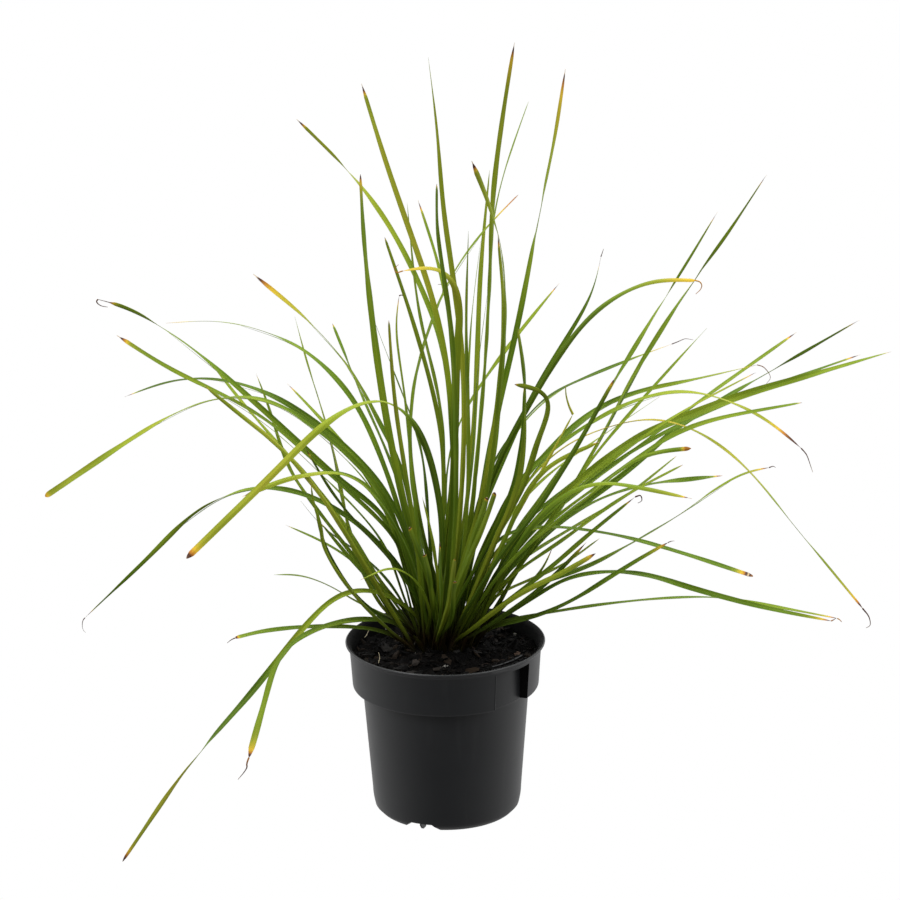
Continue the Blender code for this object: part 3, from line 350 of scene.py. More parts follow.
def tinted(tree, colour, tint):
    """A colour times another."""
    return mixed(tree, 1.0, colour, tint, "MULTIPLY")


def object_place(tree):
    """Where a point lies on its own object."""
    return add_node(tree, "ShaderNodeTexCoord").outputs["Object"]


def noise_value(tree, vector, scale, detail=3.0, roughness=0.55):
    """The value of a Noise texture at a vector socket."""
    node = add_node(tree, "ShaderNodeTexNoise", in_Scale=scale, in_Detail=detail, in_Roughness=roughness)
    tree.links.new(vector, node.inputs["Vector"])
    return node.outputs["Fac"]


def scaled(tree, vector, factors):
    """A vector with each of its parts times a factor."""
    node = add_node(tree, "ShaderNodeVectorMath", operation="MULTIPLY")
    tree.links.new(vector, node.inputs[0])
    node.inputs[1].default_value = factors
    return node.outputs[0]


def add_bump(tree, shader, height, strength, distance):
    """Bump from a height socket."""
    node = add_node(tree, "ShaderNodeBump", in_Strength=strength, in_Distance=distance)
    tree.links.new(height, node.inputs["Height"])
    tree.links.new(node.outputs["Normal"], shader.inputs["Normal"])


def leaf_material(name, lift):
    """Leaf tissue: green to olive by each leaf's tone, finely ribbed, drying towards its tip, with painted
    shade that darkens it towards its foot.
    """
    material, tree, shader = principled(name, 0.50)
    grain = attribute(tree, "grain", "Vector")
    side, back, age, base, tone = [attribute(tree, value, "Fac") for value in LEAF_VALUES]
    streak = noise_value(tree, scaled(tree, grain, STREAK_GRAIN), 1.0, 2.0, 0.5)
    patch = noise_value(tree, scaled(tree, grain, PATCH_GRAIN), 1.0, 1.0)
    patches = times(tree, plus(tree, patch, -0.5), PATCH_SHARE)
    green = ramp(tree, plus(tree, tone, patches, clamp=True), GREENS)
    ribbed = mixed(tree, times(tree, streak, STREAK_SHARE), green, tinted(tree, green, STREAK_TINT))
    pale = tinted(tree, ribbed, BACK_TINT)
    faced = mixed(tree, times(tree, back, BACK_SHARE), ribbed, pale)
    off_middle = calculate(tree, "ABSOLUTE", side)
    rib = calculate(tree, "SUBTRACT", 1.0, times(tree, off_middle, 9.0), clamp=True)
    veined = mixed(tree, times(tree, rib, 0.30), faced, RIB_COLOUR)
    edge = times(tree, plus(tree, off_middle, -0.84), 3.2, clamp=True)
    edged = mixed(tree, times(tree, edge, 0.5), veined, EDGE_COLOUR)
    footed = mixed(tree, times(tree, base, 1.6, clamp=True), edged, ramp(tree, base, SHEATH_COLOURS))
    spread = add_node(tree, "ShaderNodeSeparateXYZ")
    tree.links.new(grain, spread.inputs[0])
    # Painted shade: darker towards the foot by each point's run from the crown.
    shade = ramp(tree, times(tree, spread.outputs["Y"], 5.0, clamp=True), FOOT_PAINTED_SHADE)
    ragged = plus(tree, age, times(tree, plus(tree, streak, -0.5), RAGGED_SHARE))
    dried = ramp(tree, ragged, DRIED_COLOURS)
    colour = mixed(tree, times(tree, ragged, 4.5, clamp=True), tinted(tree, footed, shade), dried)
    tree.links.new(tinted(tree, colour, lift), shader.inputs["Base Color"])
    shader.inputs["Specular IOR Level"].default_value = 0.10
    ribs = add_node(tree, "ShaderNodeTexWave", wave_type="BANDS", bands_direction="X", in_Scale=430.0)
    tree.links.new(grain, ribs.inputs["Vector"])
    add_bump(tree, shader, plus(tree, times(tree, ribs.outputs["Fac"], 0.6), streak), 0.10, 0.00004)
    return material


def plastic_material():
    """Charcoal moulded plastic with a satin skin, faint flow marks and a little dust."""
    material, tree, shader = principled("moulded_plastic", 0.40)
    place = object_place(tree)
    cloud = noise_value(tree, place, 22.0, 4.0)
    fine = noise_value(tree, place, 2600.0, 2.0)
    flow = noise_value(tree, scaled(tree, place, (90.0, 90.0, 7.0)), 1.0, 4.0)
    colour = mixed(tree, cloud, (0.0067, 0.0073, 0.0082), (0.0115, 0.0124, 0.0138))
    dust = times(tree, plus(tree, flow, -0.58), 2.4, clamp=True)
    dusty = mixed(tree, times(tree, dust, 0.06), colour, (0.22, 0.21, 0.20))
    tree.links.new(dusty, shader.inputs["Base Color"])
    rough = add_node(tree, "ShaderNodeMapRange", in_3=0.36, in_4=0.50)
    tree.links.new(cloud, rough.inputs[0])
    tree.links.new(rough.outputs[0], shader.inputs["Roughness"])
    shader.inputs["Specular IOR Level"].default_value = 0.45
    add_bump(tree, shader, fine, 0.25, 0.00006)
    return material


def stain_and_painted_shade_material():
    """The pot's inner wall: dull plastic with a film of dried mix, and painted shade that makes it far
    darker than the outside.
    """
    material, tree, shader = principled("pot_stained", 0.75)
    film = noise_value(tree, object_place(tree), 240.0, 5.0)
    # Painted shade with a stain: colours far darker than the moulded plastic, standing in for the shade
    # inside the rim, with lighter patches of dried mix.
    colour = ramp(tree, film, (
        (0.30, (0.0014, 0.0014, 0.0014)),
        (0.60, (0.0026, 0.0025, 0.0024)),
        (0.85, (0.0080, 0.0066, 0.0054))))
    tree.links.new(colour, shader.inputs["Base Color"])
    shader.inputs["Specular IOR Level"].default_value = 0.12
    add_bump(tree, shader, film, 0.5, 0.0003)
    return material


def mix_material():
    """Moist bark mix: near black with brown crumbs."""
    material, tree, shader = principled("bark_mix", 0.88)
    place = object_place(tree)
    crumbs = add_node(tree, "ShaderNodeTexVoronoi", in_Scale=420.0)
    tree.links.new(place, crumbs.inputs["Vector"])
    cloud = noise_value(tree, place, 160.0, 5.0)
    colour = ramp(tree, cloud, (
        (0.30, (0.0006, 0.0005, 0.0005)),
        (0.55, (0.0013, 0.0011, 0.0010)),
        (0.80, (0.0060, 0.0042, 0.0030))))
    tree.links.new(colour, shader.inputs["Base Color"])
    shader.inputs["Specular IOR Level"].default_value = 0.06
    add_bump(tree, shader, plus(tree, crumbs.outputs["Distance"], cloud), 0.8, 0.0012)
    return material


def chip_material():
    """Bark chips from black through brown to grey."""
    material, tree, shader = principled("bark_chip", 0.80)
    fibre = noise_value(tree, scaled(tree, object_place(tree), (900.0, 500.0, 900.0)), 1.0, 4.0)
    body = ramp(tree, attribute(tree, "tone", "Fac"), (
        (0.0, (0.0007, 0.0006, 0.0006)),
        (0.56, (0.0018, 0.0015, 0.0013)),
        (0.79, (0.0056, 0.0040, 0.0028)),
        (0.87, (0.0230, 0.0145, 0.0080)),
        (0.93, (0.0260, 0.0250, 0.0240)),
        (1.0, (0.1100, 0.0720, 0.0520))))
    streaked = mixed(tree, times(tree, fibre, 0.8), body, (0.0010, 0.0009, 0.0008))
    tree.links.new(streaked, shader.inputs["Base Color"])
    shader.inputs["Specular IOR Level"].default_value = 0.08
    add_bump(tree, shader, fibre, 0.6, 0.0004)
    return material


def pale_material(name, dark, light, roughness):
    """Pale crumbs and roots with a soft mottle."""
    material, tree, shader = principled(name, roughness)
    cloud = noise_value(tree, object_place(tree), 700.0, 4.0)
    tree.links.new(mixed(tree, cloud, dark, light), shader.inputs["Base Color"])
    add_bump(tree, shader, cloud, 0.7, 0.0003)
    return material


def link(name, mesh, *materials):
    """Put a mesh in the scene."""
    thing = bpy.data.objects.new(name, mesh)
    bpy.context.scene.collection.objects.link(thing)
    for material in materials:
        mesh.materials.append(material)
    return thing


def mesh_from(name, points, faces, sharp=None):
    """A mesh from points and faces with its normals pointing out."""
    mesh = bpy.data.meshes.new(name)
    mesh.from_pydata([tuple(p) for p in points], [], faces)
    shell = bmesh.new()
    shell.from_mesh(mesh)
    bmesh.ops.recalc_face_normals(shell, faces=shell.faces)
    shell.to_mesh(mesh)
    shell.free()
    if sharp is not None:
        mesh.shade_smooth()
        mesh.set_sharp_from_angle(angle=sharp)
    return mesh


def carry(mesh, name, values, kind="FLOAT"):
    """Store a value for each point of a mesh."""
    data = mesh.attributes.new(name, kind, "POINT").data
    field = "vector" if kind == "FLOAT_VECTOR" else "value"
    data.foreach_set(field, np.asarray(values, dtype=np.float32).ravel())


def ring_ways(sides):
    """Level directions all round, as pairs of x and y."""
    turns = [2.0 * math.pi * side / sides for side in range(sides)]
    return [(math.cos(turn), math.sin(turn)) for turn in turns]


def ring_faces(first, rings, sides):
    """The faces of a closed skin over rings of points, with both of its ends."""
    faces = []
    for ring in range(rings - 1):
        for side in range(sides):
            a = first + ring * sides + side
            b = first + ring * sides + (side + 1) % sides
            faces.append((a, b, b + sides, a + sides))
    last = first + (rings - 1) * sides
    faces.append(tuple(range(first + sides - 1, first - 1, -1)))
    faces.append(tuple(range(last, last + sides)))
    return faces


def turned_mesh(name, profile, sides):
    """Turn a closed profile of (radius, height) points about the Z axis."""
    points = []
    rings = []
    for radius, height in profile:
        first = len(points)
        if radius == 0.0:
            rings.append([first] * sides)
            points.append((0.0, 0.0, height))
        else:
            rings.append(range(first, first + sides))
            points += [(radius * x, radius * y, height) for x, y in ring_ways(sides)]
    faces = []
    for lower, upper in zip(rings, rings[1:] + rings[:1]):
        for side in range(sides):
            ahead = (side + 1) % sides
            face = dict.fromkeys((lower[side], lower[ahead], upper[ahead], upper[side]))
            if len(face) > 2:
                faces.append(tuple(face))
    return mesh_from(name, points, faces, math.radians(35.0))


def bearing_point(bearing, radius, height):
    """A point at a bearing measured from the front towards +X."""
    return (radius * math.sin(bearing), -radius * math.cos(bearing), height)


def sector_block(name, start, end, inner, outer, low, high, steps=20):
    """A curved block between two bearings, two radii and two heights."""
    corners = ((inner, low), (outer, low), (outer, high), (inner, high))
    bearings = [start + (end - start) * step / steps for step in range(steps + 1)]
    points = [bearing_point(bearing, *corner) for bearing in bearings for corner in corners]
    return mesh_from(name, points, ring_faces(0, steps + 1, len(corners)))


def pot_profile():
    """The pot's wall section, outside from the foot up and inside back down to the axis."""
    ring_inner = FOOT_RADIUS - FOOT_RING_WIDTH
    floor_top = BASE_RISE + BASE_THICKNESS
    body_slope = (BODY_TOP_RADIUS - BODY_FOOT_RADIUS) / (COLLAR_FOOT_HEIGHT - BODY_FOOT_HEIGHT)
    section = [
        (0.0, 0.0),
        (BASE_DISC_RADIUS, 0.0),
        (BASE_DISC_RADIUS + 0.002, BASE_RISE),
        (ring_inner - 0.001, BASE_RISE),
        (ring_inner, 0.0),
        (FOOT_RADIUS - 0.0006, 0.0),
        (FOOT_RADIUS, 0.0004),
        (FOOT_RADIUS + FOOT_FLARE, FOOT_FLARE_HEIGHT),
    ]
    for step in range(1, 6):
        share = step / 6.0
        bulge = math.sin(0.5 * math.pi * share)
        section.append((
            FOOT_RADIUS + FOOT_FLARE + (BODY_FOOT_RADIUS - FOOT_RADIUS - FOOT_FLARE) * bulge,
            FOOT_FLARE_HEIGHT + (BODY_FOOT_HEIGHT - FOOT_FLARE_HEIGHT) * share))
    section.append((BODY_FOOT_RADIUS, BODY_FOOT_HEIGHT))
    for step in range(1, 8):
        height = BODY_FOOT_HEIGHT + (COLLAR_FOOT_HEIGHT - COLLAR_STEP - BODY_FOOT_HEIGHT) * step / 8.0
        section.append((BODY_FOOT_RADIUS + body_slope * (height - BODY_FOOT_HEIGHT), height))
    section += [
        (BODY_TOP_RADIUS - 0.0002, COLLAR_FOOT_HEIGHT - COLLAR_STEP),
        (BODY_TOP_RADIUS + 0.0001, COLLAR_FOOT_HEIGHT - 0.0024),
        (BODY_TOP_RADIUS + 0.0010, COLLAR_FOOT_HEIGHT - 0.0014),
        (COLLAR_FOOT_RADIUS - 0.0014, COLLAR_FOOT_HEIGHT - 0.0010),
        (COLLAR_FOOT_RADIUS - 0.0005, COLLAR_FOOT_HEIGHT - 0.0008),
        (COLLAR_FOOT_RADIUS - 0.0001, COLLAR_FOOT_HEIGHT - 0.0002),
        (COLLAR_FOOT_RADIUS + 0.0001, COLLAR_FOOT_HEIGHT + 0.0008),
        (COLLAR_FOOT_RADIUS + 0.0010, COLLAR_FOOT_HEIGHT + 0.0150),
        (COLLAR_TOP_RADIUS - 0.0002, POT_HEIGHT - 0.0052),
        (COLLAR_TOP_RADIUS + 0.0003, POT_HEIGHT - 0.0040),
        (COLLAR_TOP_RADIUS + 0.0012, POT_HEIGHT - 0.0030),
        (RIM_RADIUS - 0.0006, POT_HEIGHT - 0.0018),
        (RIM_RADIUS - 0.0001, POT_HEIGHT - 0.0012),
        (RIM_RADIUS, POT_HEIGHT - 0.0007),
        (RIM_RADIUS - 0.0003, POT_HEIGHT - 0.0002),
        (RIM_RADIUS - 0.0009, POT_HEIGHT),
        (RIM_RADIUS - 0.0020, POT_HEIGHT - 0.0004),
        (COLLAR_TOP_RADIUS - 0.0002, POT_HEIGHT - 0.0012),
        (COLLAR_TOP_RADIUS - WALL, POT_HEIGHT - 0.0030),
        (COLLAR_FOOT_RADIUS - WALL, COLLAR_FOOT_HEIGHT + WALL),
        (BODY_TOP_RADIUS - WALL, COLLAR_FOOT_HEIGHT + WALL - 0.0006),
        (BODY_FOOT_RADIUS - WALL, BODY_FOOT_HEIGHT),
        (FOOT_RADIUS + 0.0010, floor_top),
        (0.0, floor_top),
    ]
    return section


def tool_object(name, mesh):
    """An object that only shapes others."""
    thing = link(name, mesh)
    thing.hide_render = True
    return thing


def add_boolean(thing, tool, operation):
    """Join or cut one object by another, exactly."""
    step = thing.modifiers.new(tool.name, "BOOLEAN")
    step.operation = operation
    step.solver = "EXACT"
    step.object = tool


def collar_radius(height):
    """The collar's outer radius at a height."""
    share = (height - COLLAR_FOOT_HEIGHT) / (POT_HEIGHT - COLLAR_FOOT_HEIGHT)
    return COLLAR_FOOT_RADIUS + share * (COLLAR_TOP_RADIUS - COLLAR_FOOT_RADIUS)


def gap_cutter(middle, start_share, end_share, steps=8):
    """A wedge that opens part of a drain gap in the foot ring, narrower at its top."""
    inner = FOOT_RADIUS - FOOT_RING_WIDTH - GAP_CUTTER_INSET
    outer = FOOT_RADIUS + GAP_CUTTER_OUTSET
    points = []
    for step in range(steps + 1):
        share = start_share + (end_share - start_share) * step / steps
        low = middle + share * GAP_HALF_FLOOR
        high = middle + share * GAP_HALF_TOP
        points.append(bearing_point(low, inner, -CUT_MARGIN))
        points.append(bearing_point(low, outer, -CUT_MARGIN))
        points.append(bearing_point(high, outer, GAP_HEIGHT))
        points.append(bearing_point(high, inner, BASE_RISE + 0.0001))
    return tool_object("gap_cutter", mesh_from("gap_cutter", points, ring_faces(0, steps + 1, 4)))


def hole_cutter(index):
    """A short cylinder that opens one drain hole in the raised channel."""
    turn = HOLE_TURN + 2.0 * math.pi * index / HOLE_COUNT
    shell = bmesh.new()
    bmesh.ops.create_cone(
        shell, cap_ends=True, segments=HOLE_SIDES, radius1=HOLE_RADIUS, radius2=HOLE_RADIUS,
        depth=HOLE_CUTTER_LENGTH)
    mesh = bpy.data.meshes.new("hole_cutter")
    shell.to_mesh(mesh)
    shell.free()
    thing = tool_object("hole_cutter", mesh)
    thing.location = (HOLE_CIRCLE * math.cos(turn), HOLE_CIRCLE * math.sin(turn), HOLE_CUTTER_HEIGHT)
    thing.rotation_euler = (0.0, 0.0, turn + HOLE_SKEW)
    return thing


def applied(thing):
    """Turn a thing's modifiers into its mesh and remove the tools that they used."""
    tools = [step.object for step in thing.modifiers if step.type == "BOOLEAN"]
    graph = bpy.context.evaluated_depsgraph_get()
    mesh = bpy.data.meshes.new_from_object(thing.evaluated_get(graph))
    thing.modifiers.clear()
    thing.data = mesh
    for tool in tools:
        bpy.data.objects.remove(tool, do_unlink=True)
    return thing


def on_inner_wall(face):
    """Whether a face of the pot lies inside its rim, over the foot of the collar."""
    radius = math.hypot(face.center.x, face.center.y)
    inward = -(face.normal.x * face.center.x + face.normal.y * face.center.y)
    return face.center.z > COLLAR_FOOT_HEIGHT and radius < RIM_RADIUS - 0.0013 and inward > -0.2 * radius


def build_pocket_edge():
    """The collar's rounded edge where the label pocket starts, and the ledge behind its slots."""
    path = []
    for step in range(POCKET_EDGE_STEPS + 1):
        height = COLLAR_FOOT_HEIGHT + (POCKET_TOP - COLLAR_FOOT_HEIGHT) * step / POCKET_EDGE_STEPS
        path.append(bearing_point(POCKET_START, collar_radius(height) - 0.0002, height))
    points = []
    faces = []
    tube(points, faces, path, [POCKET_EDGE_RADIUS] * len(path), 10)
    share = (POCKET_END - POCKET_START) / SLOT_COUNT
    for index in range(SLOT_COUNT):
        start = POCKET_START + share * index + 0.25 * SLOT_RIB
        reach = share - 0.5 * SLOT_RIB
        bearings = [start + reach * step / POCKET_EDGE_STEPS for step in range(POCKET_EDGE_STEPS + 1)]
        ledge = [bearing_point(bearing, LEDGE_RADIUS, LEDGE_HEIGHT) for bearing in bearings]
        tube(points, faces, ledge, [0.8 * POCKET_EDGE_RADIUS] * len(ledge), 8)
    edge = link("pocket_edge", mesh_from("pocket_edge", points, faces, math.radians(60.0)),
                bpy.data.materials["moulded_plastic"])
    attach(edge, "root")


def build_pot():
    """The moulded pot with its label pocket, label slots, drain gaps, drain holes and inner wall."""
    pot = link("nursery_pot", turned_mesh("nursery_pot", pot_profile(), POT_SIDES), plastic_material())
    side = POCKET_WALL / COLLAR_FOOT_RADIUS
    block = sector_block(
        "pocket_block", POCKET_START - side, POCKET_END + side,
        BODY_TOP_RADIUS - WALL + 0.0002, COLLAR_FOOT_RADIUS - 0.0006,
        COLLAR_FOOT_HEIGHT - 0.0002, POCKET_SHELF_HEIGHT)
    add_boolean(pot, tool_object("pocket_block", block), "UNION")
    pocket = sector_block(
        "pocket_cutter", POCKET_START, POCKET_END, POCKET_PANEL_RADIUS, RIM_RADIUS + 0.004,
        COLLAR_FOOT_HEIGHT - 0.004, POCKET_TOP)
    add_boolean(pot, tool_object("pocket_cutter", pocket), "DIFFERENCE")
    share = (POCKET_END - POCKET_START) / SLOT_COUNT
    for index in range(SLOT_COUNT):
        start = POCKET_START + share * index + 0.5 * SLOT_RIB
        slot = sector_block(
            "slot_cutter", start, start + share - SLOT_RIB, SLOT_INNER_RADIUS, SLOT_OUTER_RADIUS,
            SLOT_FLOOR, POT_HEIGHT + 0.002, steps=6)
        add_boolean(pot, tool_object("slot_cutter", slot), "DIFFERENCE")
    rib = GAP_RIB_WIDTH / GAP_HALF_FLOOR
    for index in range(GAP_COUNT):
        middle = GAP_BEARING + 2.0 * math.pi * index / GAP_COUNT
        add_boolean(pot, gap_cutter(middle, -1.0, -rib), "DIFFERENCE")
        add_boolean(pot, gap_cutter(middle, rib, 1.0), "DIFFERENCE")
    for index in range(HOLE_COUNT):
        add_boolean(pot, hole_cutter(index), "DIFFERENCE")
    applied(pot)
    # Faces inside the rim take the inner wall's material, whose darkness is painted shade.
    pot.data.materials.append(stain_and_painted_shade_material())
    for face in pot.data.polygons:
        if on_inner_wall(face):
            face.material_index = 1
    pot.data.shade_smooth()
    pot.data.set_sharp_from_angle(angle=math.radians(32.0))
    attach(pot, "root")
    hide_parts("pot")


def from_crown(x, y):
    """The level distance from the middle of the crown."""
    return math.hypot(x - CROWN_MIDDLE[0], y - CROWN_MIDDLE[1])


def soil_wave(x, y):
    """The mix's surface under its crumbs: a low flat mound under the tuft, uneven towards the wall."""
    blend = min(1.0, max(0.0, (from_crown(x, y) - SOIL_FLAT_RADIUS) / SOIL_SLOPE))
    wave = math.sin(170.0 * x + 1.3) * math.cos(150.0 * y + 0.4) + 0.5 * math.sin(310.0 * (x - y))
    return SOIL_TOP + (1.0 - blend) * SOIL_RISE + blend * SOIL_BUMP * wave


def soil_height(x, y):
    """The mix's surface with its lumps and crumbs."""
    height = soil_wave(x, y)
    for scale, layer, size in SOIL_ROUGHNESS:
        height += size * noise.noise(Vector((x * scale, y * scale, layer)))
    return height


def soil_reach(x, y, height):
    """How far the mix reaches from the axis: to the wall, or to the back of the label pocket."""
    if height > COLLAR_FOOT_HEIGHT + WALL:
        if POCKET_START - POCKET_MARGIN < math.atan2(x, -y) < POCKET_END + POCKET_MARGIN:
            return BODY_TOP_RADIUS - WALL - 2.0 * SOIL_GAP
        return collar_radius(height) - WALL - SOIL_GAP
    share = max(0.0, (height - BODY_FOOT_HEIGHT) / (COLLAR_FOOT_HEIGHT - BODY_FOOT_HEIGHT))
    return BODY_FOOT_RADIUS + share * (BODY_TOP_RADIUS - BODY_FOOT_RADIUS) - WALL - SOIL_GAP


def build_soil():
    """The potting mix, with a lumpy surface."""
    foot = BASE_RISE + BASE_THICKNESS + SOIL_GAP
    step_height = COLLAR_FOOT_HEIGHT + WALL
    levels = (foot, BODY_FOOT_HEIGHT + 0.001, step_height - 0.0010, step_height + 0.0006)
    ways = ring_ways(SOIL_SIDES)
    points = []
    for height in levels:
        for way in ways:
            reach = FOOT_RADIUS - 0.0010 if height == foot else soil_reach(*way, height)
            points.append((way[0] * reach, way[1] * reach, height))
    for ring in range(SOIL_RINGS):
        share = (1.0 - ring / SOIL_RINGS) ** 0.85
        for way in ways:
            reach = soil_reach(*way, SOIL_TOP) * share
            x, y = way[0] * reach, way[1] * reach
            points.append((x, y, soil_height(x, y)))
    faces = ring_faces(0, len(levels) + SOIL_RINGS, SOIL_SIDES)
    soil = link("potting_mix", mesh_from("potting_mix", points, faces, math.radians(60.0)), mix_material())
    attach(soil, "root")
    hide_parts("soil")


def lump(points_out, faces_out, dice, centre, size, count, turn=None):
    """Add one angular lump: the hull of some points in a box of the given size."""
    spread = LOOSE_TILT if turn is None else FLAT_TILT
    turn = dice.uniform(0.0, math.pi) if turn is None else turn
    tilt = dice.gauss(0.0, spread)
    roll = dice.gauss(0.0, spread)
    shell = bmesh.new()
    for _ in range(count):
        spot = Vector([dice.uniform(-0.5, 0.5) * side for side in size])
        if spot.length > 1e-9:
            stretch = max(abs(v) / (0.5 * side) for v, side in zip(spot, size))
            spot /= max(stretch, LEAST_STRETCH)
        shell.verts.new(spot)
    hull = bmesh.ops.convex_hull(shell, input=shell.verts)
    loose = [v for v in hull["geom_interior"] if isinstance(v, bmesh.types.BMVert)]
    bmesh.ops.delete(shell, geom=loose, context="VERTS")
    cosine = math.cos(turn)
    sine = math.sin(turn)
    index = {}
    for vert in shell.verts:
        x, y, z = vert.co
        z += tilt * x + roll * y
        index[vert] = len(points_out)
        points_out.append((
            centre[0] + x * cosine - y * sine, centre[1] + x * sine + y * cosine, centre[2] + z))
    for face in shell.faces:
        faces_out.append(tuple(index[v] for v in face.verts))
    shell.free()
    return len(index)


def soil_spot(dice, inner, margin):
    """A place on the mix between the crown and the wall."""
    while True:
        turn = dice.uniform(0.0, 2.0 * math.pi)
        radius = math.sqrt(dice.uniform(inner ** 2, SOIL_RADIUS ** 2))
        x, y = radius * math.cos(turn), radius * math.sin(turn)
        if radius < soil_reach(x, y, SOIL_TOP) - margin:
            return x, y


# Chips that the photo shows: (x, y, length, width, height, tone) in millimetres.
KNOWN_CHIPS = (
    (-44.0, 4.0, 9.5, 8.0, 3.0, 0.92), (-22.5, -30.0, 6.5, 6.0, 4.0, 0.94),
    (20.0, -39.0, 11.0, 7.0, 2.0, 0.86), (55.3, 0.5, 4.6, 1.6, 1.3, 1.0),
    (55.0, -4.0, 5.0, 1.6, 1.4, 1.0), (55.0, -8.5, 4.4, 1.5, 1.3, 0.98),
    (-6.0, -40.0, 7.0, 4.0, 2.2, 0.9), (38.0, -18.0, 6.0, 3.0, 1.6, 0.88),
    (-30.0, -34.0, 5.0, 3.0, 1.6, 0.86), (34.0, 24.0, 7.0, 3.0, 1.8, 0.88),
    (-52.0, -8.0, 5.0, 2.6, 1.6, 0.87),
)


def add_pocket_crumbs(points, faces, tones, dice):
    """Mix that lies over the inner part of the label pocket's shelf."""
    for _ in range(POCKET_CRUMBS):
        bearing = dice.uniform(POCKET_START - POCKET_CRUMB_SPILL, POCKET_END + POCKET_CRUMB_SPILL)
        radius = dice.uniform(*POCKET_CRUMB_RADII)
        long_side = dice.uniform(*POCKET_CRUMB_LENGTHS) * MM
        size = (long_side, 0.7 * long_side, 0.45 * long_side)
        height = POCKET_SHELF_HEIGHT + 0.18 * size[2] - 0.30 * max(0.0, BODY_TOP_RADIUS - radius)
        centre = bearing_point(bearing, radius, height)
        tones += [0.55 * dice.random()] * lump(points, faces, dice, centre, size, 14)


def build_chips():
    """Bark chips and crumbs that lie on the mix."""
    dice = random.Random(CHIP_SEED)
    points = []
    faces = []
    tones = []
    for index in range(CHIP_COUNT):
        large = index % LARGE_CHIP_EVERY == 0
        long_side = dice.uniform(*LARGE_CHIP_LENGTHS) if large else dice.choice(CHIP_LENGTHS)
        shares = (1.0, dice.uniform(0.35, 0.75), dice.uniform(0.18, 0.4))
        size = [long_side * share * MM for share in shares]
        x, y = soil_spot(dice, 0.006, 0.5 * size[0] + 0.0008)
        height = soil_height(x, y) + 0.25 * size[2]
        count = lump(points, faces, dice, (x, y, height), size, 9 if long_side < 3.5 else 16)
        tones += [0.94 * dice.random() ** 0.8] * count
    for x, y, *size, tone in KNOWN_CHIPS:
        x, y = x * MM, y * MM
        size = [side * MM for side in size]
        spot = (x, y, soil_height(x, y) + 0.0010 + 0.30 * size[2])
        tones += [tone] * lump(points, faces, dice, spot, size, 22, dice.uniform(-0.25, 0.25))
    add_pocket_crumbs(points, faces, tones, dice)
    mesh = mesh_from("bark_chips", points, faces)
    carry(mesh, "tone", tones)
    chips = link("bark_chips", mesh, chip_material())
    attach(chips, "root")


def unit(vectors):
    """Vectors made one long."""
    return vectors / np.maximum(np.linalg.norm(vectors, axis=-1, keepdims=True), 1e-6)


def tube(points_out, faces_out, path, radii, sides=5):
    """Add a thin closed tube along a path."""
    faces_out += ring_faces(len(points_out), len(path), sides)
    ahead = unit(np.gradient(np.array(path), axis=0))
    across = np.cross(ahead[0], np.array((0.31, 0.22, 0.93)))
    for middle, way, radius in zip(path, ahead, radii):
        across = unit(across - way * np.dot(across, way))
        up = np.cross(way, across)
        for cosine, sine in ring_ways(sides):
            points_out.append(tuple(np.array(middle) + radius * (cosine * across + sine * up)))
    return len(path) * sides


def tapered(radius, start, loss, steps):
    """The radii of a tube that thins evenly along its path."""
    return [radius * (start - loss * step / steps) for step in range(steps + 1)]


def build_fibres():
    """Fine dark fibres among the chips."""
    dice = random.Random(FIBRE_SEED)
    points = []
    faces = []
    tones = []
    for _ in range(FIBRE_COUNT):
        x, y = soil_spot(dice, 0.010, 0.004)
        heading = dice.uniform(0.0, 2.0 * math.pi)
        bend = dice.gauss(0.0, 0.5)
        move = dice.uniform(*FIBRE_LENGTHS) / FIBRE_STEPS
        lift = dice.uniform(0.0, 0.0016)
        path = []
        for step in range(FIBRE_STEPS + 1):
            share = step / FIBRE_STEPS
            way = heading + bend * share
            path.append((x, y, soil_height(x, y) + 0.0010 + lift * math.sin(math.pi * share)))
            x += move * math.cos(way)
            y += move * math.sin(way)
            if math.hypot(x, y) > soil_reach(x, y, SOIL_TOP) - 0.002:
                x, y = x * 0.96, y * 0.96
        radii = tapered(dice.uniform(*FIBRE_RADII), 1.1, 0.6, FIBRE_STEPS)
        count = tube(points, faces, path, radii)
        tones += [0.6 + 0.4 * dice.random()] * count
    mesh = mesh_from("mix_fibres", points, faces, math.radians(80.0))
    carry(mesh, "tone", tones)
    fibres = link("mix_fibres", mesh, bpy.data.materials["bark_chip"])
    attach(fibres, "root")


# Pale crumbs that the photo shows, as (x, y, width) on the mix, and thin pale rootlets as paths,
# all in millimetres.
PALE_CRUMBS = (
    (-3.8, -32.8, 1.6), (-2.2, -32.0, 1.3), (-0.4, -30.8, 1.9), (1.4, -29.8, 1.5), (-28.2, -30.8, 1.3),
    (-23.0, -13.0, 1.7), (54.2, 41.3, 2.8), (29.4, 7.8, 0.9), (-36.0, 33.0, 1.4), (36.0, -30.0, 1.0),
    (-8.0, 58.0, 2.2), (24.0, 57.0, 1.8), (-46.0, 48.0, 1.6),
)
ROOTLETS = (
    ((-62.5, 31.0, 126.6), (-61.2, 32.0, 127.6), (-60.0, 34.5, 129.4), (-58.2, 37.0, 131.2),
     (-57.0, 38.0, 131.6)),
    ((-51.3, -25.5, 125.4), (-50.6, -25.0, 128.2), (-49.9, -24.4, 131.0), (-50.4, -24.0, 133.6),
     (-51.0, -23.6, 135.0)),
    ((8.0, -56.0, 127.0), (11.0, -57.4, 128.2), (14.5, -57.0, 127.6), (16.0, -55.5, 126.6)),
)


